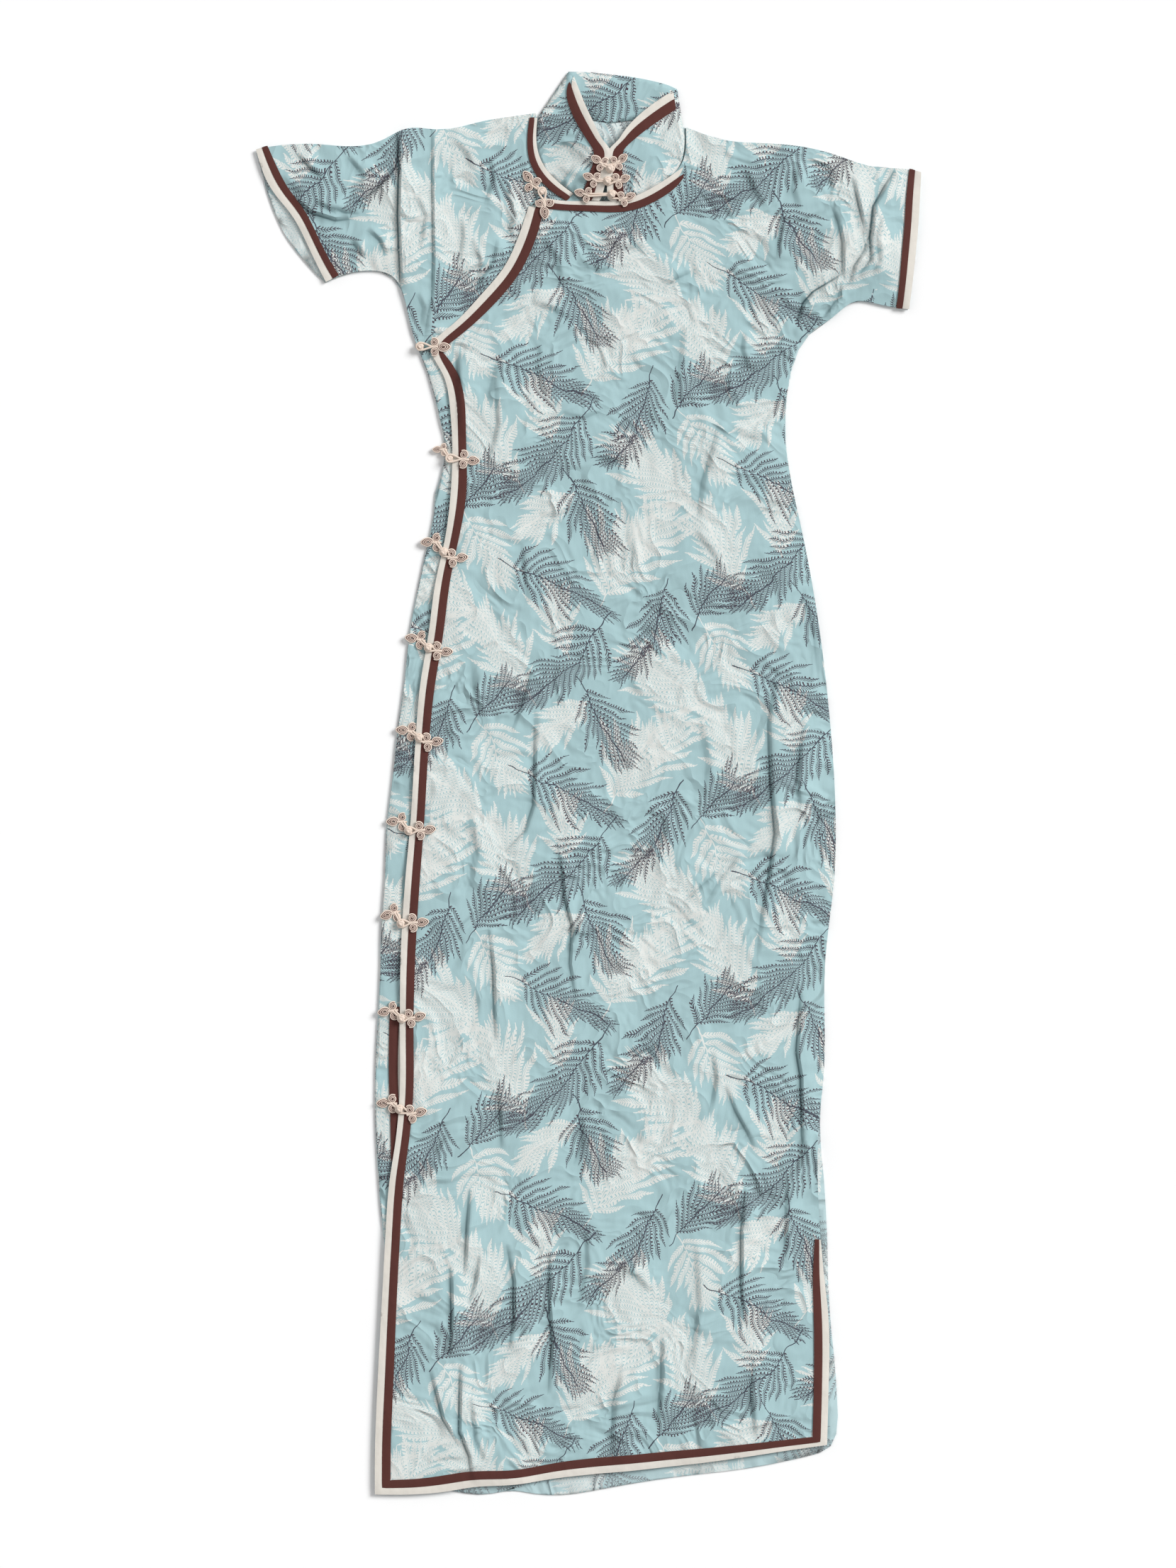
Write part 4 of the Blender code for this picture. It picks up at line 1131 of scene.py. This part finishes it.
def slips_at(places, drift):
    """How far the print has drifted at each place."""
    levels, *moves = (np.array(column) * MM for column in zip(*drift))
    left, middle, right = (
        np.column_stack([np.interp(places[:, 1], levels, move) for move in moves[i:i + 2]]) for i in (0, 2, 4)
    )
    west, centre, east = (x * MM for x in DRIFT_ACROSS)
    by_middle = np.clip((places[:, :1] - west) / (centre - west), 0, 1)
    by_right = np.clip((places[:, :1] - centre) / (east - centre), 0, 1)
    return left + (middle - left) * by_middle + (right - middle) * by_right


def map_print(bm, shifts, turned=0.0, drift=((0,) * 7,)):
    """Maps the cloth flat, in metres. A fold hides some of it, and the print drifts along it."""
    layer = bm.loops.layers.uv.new("cloth")
    cos, sin = math.cos(turned), math.sin(turned)
    bm.verts.index_update()
    slips = slips_at(np.array([vert.co.to_tuple() for vert in bm.verts]), drift)
    for face in bm.faces:
        dx, dy = shift_at(shifts, face.calc_center_median().x)
        for loop in face.loops:
            x, y = loop.vert.co.x, loop.vert.co.y
            slip_x, slip_y = slips[loop.vert.index]
            loop[layer].uv = (x * cos - y * sin - dx - slip_x, x * sin + y * cos - dy - slip_y)


def set_sides(made, is_wrong):
    """Gives a panel its right side's and its wrong side's cloth, face by face."""
    made.data.materials.append(material("crepe_right_side"))
    made.data.materials.append(material("crepe_wrong_side"))
    for face in made.data.polygons:
        face.material_index = int(is_wrong(face))


def place_piece(made, slot, *nodes):
    """Puts a piece in the place of its solids."""
    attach(made, "root")
    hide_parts(*nodes)
    return made


def turned_down(face):
    return face.normal.z < -0.3


def close_collar(x, y):
    """Brings the collar's two front edges together, above the neckline."""
    (low, low_fade), (high, high_fade), middle, most, width = COLLAR_CLOSED
    share = float(ease((y - low) / low_fade) * ease((high - y) / high_fade))
    pull = most * share * math.exp(-(((x - middle) / width) ** 2))
    return x + (pull * COLLAR_LEFT if x < middle else -pull), y


# Trims


def surface_of(names):
    """A ray-caster on some finished pieces."""
    points, faces = [], []
    for name in names:
        mesh = bpy.data.objects[name].data
        first = len(points)
        points += [vertex.co.copy() for vertex in mesh.vertices]
        faces += [[first + i for i in face.vertices] for face in mesh.polygons]
    return BVHTree.FromPolygons(points, faces)


def ground_at(surface, x, y, default):
    """The height of the cloth at a place, or of the cloth nearest to it at some height."""
    hit = surface.ray_cast(Vector((x, y, 1.0)), Vector((0, 0, -1)))[0]
    if hit is None:
        near = surface.find_nearest(Vector((x, y, default)))[0]
        return near.z if near is not None else default
    return hit.z


def lay_strip(node, surface, colour, spread_by, lift, reach, warp=None):
    """A bias strip on a finished panel, from its solid's outline, swelling along its middle."""
    trims = settings().trims
    loops = loops_of(node)
    if node.startswith("neck_front"):
        loops = [cut_off(ring, NECK_TUCK) for ring in loops]
    rings = [rounded(ring, trims.spacing, reach, spread_by) for ring in loops]
    if warp:
        rings = [np.array([warp(x, y) for x, y in ring]) for ring in rings]
    rim = tree_of([place for ring in rings for place in ring])
    places = spread(grid_places(rings, trims.spacing))
    inner = [place for place in places if rim.find((*place, 0))[2] < STRIP_REACH]

    def heights(x, y, inward):
        floor = resting(surface, x, y, 0.0008, 4) + STRIP_GAP
        swell = trims.swell * math.sin(math.pi / 2 * min(inward / STRIP_SHOULDER, 1.0))
        return floor, floor + trims.wall + lift + swell

    bm = closed_sheet(rings, inner, heights)
    made = finish_mesh(bm, node.replace("_binding", "_cream_strip").replace("_band", "_brown_strip"), 50)
    made.data.materials.append(material(colour))
    return made


def lay_trims(panel_piece, panel_name, warp=None, reach=OUTLINE_REACH):
    """Both strips of each trim on a panel. Gives the pieces."""
    surface = surface_of([panel_piece.name])
    made = []
    for trim, brown_spread in TRIMS[panel_name]:
        for part, colour, slot, spread_by, lift in (
            ("_binding", "cream_strip", "cream_binding", CREAM_SPREAD, 0.0),
            ("_band", "brown_strip", "brown_band", brown_spread, BROWN_LIFT),
        ):
            strip = lay_strip(trim + part, surface, colour, spread_by * MM, lift, reach, warp)
            place_piece(strip, slot, trim + part)
            made.append(strip)
    return made


def clothe(bm, name, node, is_wrong, sharp=40, **trims):
    """A panel's piece from its finished mesh, and its trims."""
    made = finish_mesh(bm, name, sharp)
    set_sides(made, is_wrong)
    place_piece(made, "printed_cloth", node)
    return made, lay_trims(made, node, **trims)


# Frogs


def tube(points, radius, closed=False):
    """A cord along some points, as a mesh."""
    curve = bpy.data.curves.new("cord", "CURVE")
    curve.dimensions = "3D"
    curve.bevel_depth = radius
    curve.bevel_resolution = 2
    curve.use_fill_caps = not closed
    spline = curve.splines.new("POLY")
    spline.points.add(len(points) - 1)
    for point, place in zip(spline.points, points):
        point.co = (*place, 1.0)
    spline.use_cyclic_u = closed
    holder = bpy.data.objects.new("cord", curve)
    mesh = bpy.data.meshes.new_from_object(holder)
    bpy.data.objects.remove(holder)
    bpy.data.curves.remove(curve)
    return mesh


def spiral(middle, size_along, size_across, facing, turns, start, tip=0.0, hand=1, count=46):
    """The points of a flat coil from its outside in. A tip pulls it out to a leaf's point."""
    points = []
    for k in range(count):
        t = k / (count - 1)
        angle = start + hand * 2 * math.pi * turns * t
        radius = 1.0 - 0.86 * t
        u, v = math.cos(angle) * radius, math.sin(angle) * radius
        pull = max(math.cos(angle), 0.0) ** 5 * tip * radius
        u = u * size_along + pull
        v = v * size_across
        points.append((
            middle.x + u * math.cos(facing) - v * math.sin(facing),
            middle.y + u * math.sin(facing) + v * math.cos(facing),
            middle.z,
        ))
    return points


def coiled(centre, along, across, radius, **form):
    """A flat coil of cord, and the line that shows in it, each with the number of its material."""
    inner = 0.62 * radius * 1.6
    raised = centre + Vector((0, 0, radius * 0.42))
    return [
        (tube(spiral(centre, along, across, **form), radius * 1.05), 0),
        (tube(spiral(raised, along - inner, across - inner, **form), radius * 0.62), 1),
    ]


def join_meshes(parts, name):
    """One mesh from several, each with the number of its material."""
    bm = bmesh.new()
    for mesh, number in parts:
        before = len(bm.faces)
        bm.from_mesh(mesh)
        bm.faces.ensure_lookup_table()
        for face in bm.faces[before:]:
            face.material_index = number
        bpy.data.meshes.remove(mesh)
    bmesh.ops.remove_doubles(bm, verts=bm.verts[:], dist=MERGE)
    bmesh.ops.recalc_face_normals(bm, faces=bm.faces[:])
    return finish_mesh(bm, name, 60)


def knot(middle, radius):
    """A ball knot: a core with three cords wound round it."""
    bm = bmesh.new()
    bmesh.ops.create_uvsphere(bm, u_segments=14, v_segments=8, radius=radius * 0.86)
    bmesh.ops.translate(bm, verts=bm.verts[:], vec=middle)
    core = bpy.data.meshes.new("core")
    bm.to_mesh(core)
    bm.free()
    parts = [(core, 0)]
    for lean, turn in ((55, 10), (62, 130), (50, 250)):
        tilt, spin = math.radians(lean), math.radians(turn)
        across = Vector((math.cos(spin), math.sin(spin), 0))
        up = Vector((-math.sin(spin) * math.cos(tilt), math.cos(spin) * math.cos(tilt), math.sin(tilt)))
        ring = [
            middle + (across * math.cos(a) + up * math.sin(a)) * radius * 0.80
            for a in (2 * math.pi * k / 18 for k in range(18))
        ]
        parts.append((tube(ring, radius * 0.34, closed=True), 0))
    return parts


def resting(surface, x, y, reach, count=8):
    """The height of the highest cloth under a small disc."""
    heights = [ground_at(surface, x, y, 0.004)]
    for k in range(count):
        angle = 2 * math.pi * k / count
        heights.append(ground_at(surface, x + reach * math.cos(angle), y + reach * math.sin(angle), 0.0))
    return max(heights)


def frog_half(name, surface, knob, middle, outward, turn, size):
    """A pair of round coils, a leaf beyond them, and the stem to the knob or the loop round it."""
    frogs = settings().frogs
    with_knob = outward < 0
    lean = math.radians(turn) * outward
    axis = Vector((outward * math.cos(lean), math.sin(lean)))
    cross = Vector((-axis.y, axis.x))
    facing = math.atan2(axis.y, axis.x)
    radius = frogs.radius
    parts = []
    pair_base = resting(surface, middle.x, middle.y, 0.002)
    knob_base = max(resting(surface, knob.x, knob.y, 0.0012), pair_base - 0.0012)
    if size:
        coil = frogs.coil * size
        round_coils = [middle + cross * frogs.pitch * size / 2, middle - cross * frogs.pitch * size / 2]
        for i, place in enumerate(round_coils):
            base = resting(surface, place.x, place.y, coil * 0.8)
            centre = Vector((place.x, place.y, base + radius * 1.6))
            hand = 1 if i else -1
            parts += coiled(
                centre, coil - radius, coil - radius, radius,
                facing=facing, turns=frogs.turns, start=math.pi + hand * 0.9, hand=hand,
            )
        leaf = middle + axis * frogs.leaf_out * size
        base = resting(surface, leaf.x, leaf.y, coil)
        centre = Vector((leaf.x, leaf.y, base + radius * 1.6))
        half_length, half_width, tip = (length * size for length in LEAF_COIL)
        parts += coiled(
            centre, half_length, half_width, radius,
            facing=facing, turns=3.0, start=math.pi * 0.9, tip=tip, count=60,
        )
        bridge = []
        for t in (-0.9, -0.4, 0.1, 0.6, 1.1):
            rise = radius * (1.4 + 0.8 * math.sin(math.pi * t))
            bridge.append((*(middle + axis * BRIDGE_REACH * size * t), pair_base + rise))
        parts.append((tube(bridge, radius * 1.5), 0))
    way = (knob - middle).normalized()
    side = Vector((-way.y, way.x))
    distance = (knob - middle).length
    if with_knob:
        centre = Vector((knob.x, knob.y, knob_base + frogs.knob * 0.80))
        parts += knot(centre, frogs.knob)
        for aside in (-1, 1):
            line = []
            for k in range(9):
                t = k / 8
                flat = middle + way * distance * t + side * aside * STEM_ASIDE * (1 - 0.5 * t)
                low = pair_base + (knob_base - pair_base) * t + radius * 1.7
                line.append((flat.x, flat.y, low + 0.0004 * math.sin(math.pi * t)))
            parts.append((tube(line, radius * 1.3), 0))
    else:
        ring, line = frogs.knob + radius * 0.5, []
        for k in range(25):
            t = k / 24
            if t < 0.3:
                flat = middle + way * (distance * t / 0.3) + side * ring * ease(t / 0.3)
            elif t > 0.7:
                flat = middle + way * (distance * (1 - t) / 0.3) - side * ring * ease((1 - t) / 0.3)
            else:
                angle = math.pi * (t - 0.3) / 0.4
                flat = knob + side * ring * math.cos(angle) + way * ring * math.sin(angle)
            share = min((flat - middle).length / max(distance, 1e-6), 1.0)
            low = pair_base + (max(knob_base, pair_base) - pair_base) * share + radius * 1.3
            line.append((flat.x, flat.y, low))
        parts.append((tube(line, radius * 1.3), 0))
    made = join_meshes(parts, name)
    made.data.materials.append(material("frog_cord"))
    made.data.materials.append(material("frog_line"))
    return made


# Operators


class CHEONGSAM_OT_back(bpy.types.Operator):
    """Make the back with its turned-over flap."""

    bl_idname = "cheongsam.back"
    bl_label = "Back"

    def execute(self, context):
        bm = panel("back_panel", BACK_CREASES + FLAP_CREASES, rounds=4, coarse=2.4)
        for vert in bm.verts:
            vert.co.z = max(vert.co.z, 0.0)
        map_print(bm, BACK_SHIFTS)
        layer = bm.loops.layers.uv["cloth"]
        for face in bm.faces:
            middle = face.calc_center_median()
            if middle.z > FLAP_FLOOR and middle.x < FLAP_SIDE:
                for loop in face.loops:
                    loop[layer].uv.x += FLAP_SHIFT[0] * MM
                    loop[layer].uv.y += FLAP_SHIFT[1] * MM

        def is_wrong(face):
            return abs(face.normal.z) > 0.5 and (face.normal.z > 0.5) == (face.center.z < FLAP_FLOOR)

        made, trims = clothe(bm, "back_cloth", "back_panel", is_wrong, 45)
        return {"FINISHED"}


class CHEONGSAM_OT_overlap(bpy.types.Operator):
    """Make the small front under the opening, with its sleeve."""

    bl_idname = "cheongsam.overlap"
    bl_label = "Overlap"

    def execute(self, context):
        bm = creased_sheet("front_overlap", OVERLAP_CREASES, fullness=0.0)
        map_print(bm, OVERLAP_SHIFTS)
        made, trims = clothe(bm, "overlap_cloth", "front_overlap", turned_down, reach=OPENING_REACH)
        return {"FINISHED"}


class CHEONGSAM_OT_front(bpy.types.Operator):
    """Make the front with its sleeve."""

    bl_idname = "cheongsam.front"
    bl_label = "Front"

    def execute(self, context):
        bm = creased_sheet("front_panel", FRONT_CREASES, fullness=1.0)
        map_print(bm, SLEEVE_SHIFTS, drift=FRONT_DRIFT)
        made, trims = clothe(bm, "front_cloth", "front_panel", turned_down, reach=OPENING_REACH)
        return {"FINISHED"}


class CHEONGSAM_OT_collar(bpy.types.Operator):
    """Make the stand collar."""

    bl_idname = "cheongsam.collar"
    bl_label = "Collar"

    def execute(self, context):
        bm = panel("collar", COLLAR_CREASES, rounds=6, warp=close_collar)
        map_print(bm, COLLAR_SHIFTS, math.radians(12))
        made, trims = clothe(bm, "collar_cloth", "collar", lambda face: False, 60, warp=close_collar)
        return {"FINISHED"}


class CHEONGSAM_OT_frogs(bpy.types.Operator):
    """Make the thirteen frogs."""

    bl_idname = "cheongsam.frogs"
    bl_label = "Frogs"

    def execute(self, context):
        surface = surface_of([
            piece.name for piece in bpy.data.objects if "_cloth" in piece.name or "_strip" in piece.name
        ])
        for name, row in FROGS.items():
            knob = Vector(row[:2]) * MM
            left, right = knob + Vector(row[2:4]) * MM, knob + Vector(row[6:8]) * MM
            for part, middle, outward, turn, size in (
                ("knob", left, -1, row[4], row[5]), ("loop", right, 1, row[8], row[9])
            ):
                node = f"frog_{name}_{part}"
                made = frog_half(node + "_coils", surface, knob, middle, outward, turn, size)
                place_piece(made, "frog_cord", node)
        return {"FINISHED"}


class CHEONGSAM_OT_stage(bpy.types.Operator):
    """Make the floor, the camera and the light."""

    bl_idname = "cheongsam.stage"
    bl_label = "Stage"

    def execute(self, context):
        stage, scene = settings().stage, context.scene
        bm = bmesh.new()
        bmesh.ops.create_grid(bm, x_segments=1, y_segments=1, size=FLOOR_HALF)
        bmesh.ops.translate(bm, verts=bm.verts[:], vec=(0, 0, -FLOOR_DROP))
        floor = finish_mesh(bm, "floor", 40)
        nodes = Nodes("pale_floor", 0.9, 0.1)
        nodes.shader.inputs["Base Color"].default_value = (0.92, 0.92, 0.92, 1.0)
        floor.data.materials.append(nodes.material)
        lens = bpy.data.cameras.new("camera")
        lens.sensor_fit = "VERTICAL"
        lens.angle = 2 * math.atan(stage.view / 2 / stage.height)
        lens.clip_end = 50.0
        camera = bpy.data.objects.new("camera", lens)
        camera.location = (*CAMERA_PLACE, stage.height)
        scene.collection.objects.link(camera)
        scene.camera = camera
        for name, (place, width) in LAMPS.items():
            lamp = bpy.data.lights.new(name, "SUN")
            lamp.angle, lamp.energy = math.radians(width), getattr(stage, name)
            light = bpy.data.objects.new(name, lamp)
            light.location = place
            light.rotation_euler = (-Vector(place)).to_track_quat("-Z", "Y").to_euler()
            scene.collection.objects.link(light)
        world = bpy.data.worlds.new("studio")
        world.use_nodes = True
        world.node_tree.nodes["Background"].inputs["Color"].default_value = (1.0, 1.0, 1.0, 1.0)
        world.node_tree.nodes["Background"].inputs["Strength"].default_value = stage.fill
        scene.world = world
        scene.view_settings.view_transform = "Standard"
        return {"FINISHED"}


class CHEONGSAM_PT_panel(bpy.types.Panel):
    """The dress's pieces and settings."""

    bl_idname = "CHEONGSAM_PT_panel"
    bl_label = "Cheongsam"
    bl_space_type = "VIEW_3D"
    bl_region_type = "UI"
    bl_category = "Cheongsam"

    def draw(self, context):
        for piece in PIECES:
            self.layout.operator(piece.bl_idname)
        for group in (settings().crepe, settings().trims, settings().frogs, settings().stage):
            box = self.layout.box()
            for name in group.__annotations__:
                box.prop(group, name)


PIECES = (
    CHEONGSAM_OT_stage, CHEONGSAM_OT_back, CHEONGSAM_OT_overlap, CHEONGSAM_OT_front,
    CHEONGSAM_OT_collar, CHEONGSAM_OT_frogs,
)
GROUPS = (PrintedCrepe, BiasTrims, CoiledFrogs, StageSettings, CheongsamSettings)


def register():
    for cls in (*GROUPS, *PIECES, CHEONGSAM_PT_panel):
        bpy.utils.register_class(cls)
    bpy.types.Scene.cheongsam = bpy.props.PointerProperty(type=CheongsamSettings)


def unregister():
    del bpy.types.Scene.cheongsam
    for cls in reversed((*GROUPS, *PIECES, CHEONGSAM_PT_panel)):
        bpy.utils.unregister_class(cls)


def main():
    register()
    bpy.ops.cheongsam.stage()
    bpy.ops.cheongsam.back()
    bpy.ops.cheongsam.overlap()
    bpy.ops.cheongsam.front()
    bpy.ops.cheongsam.collar()
    bpy.ops.cheongsam.frogs()


if __name__ == "__main__":
    main()
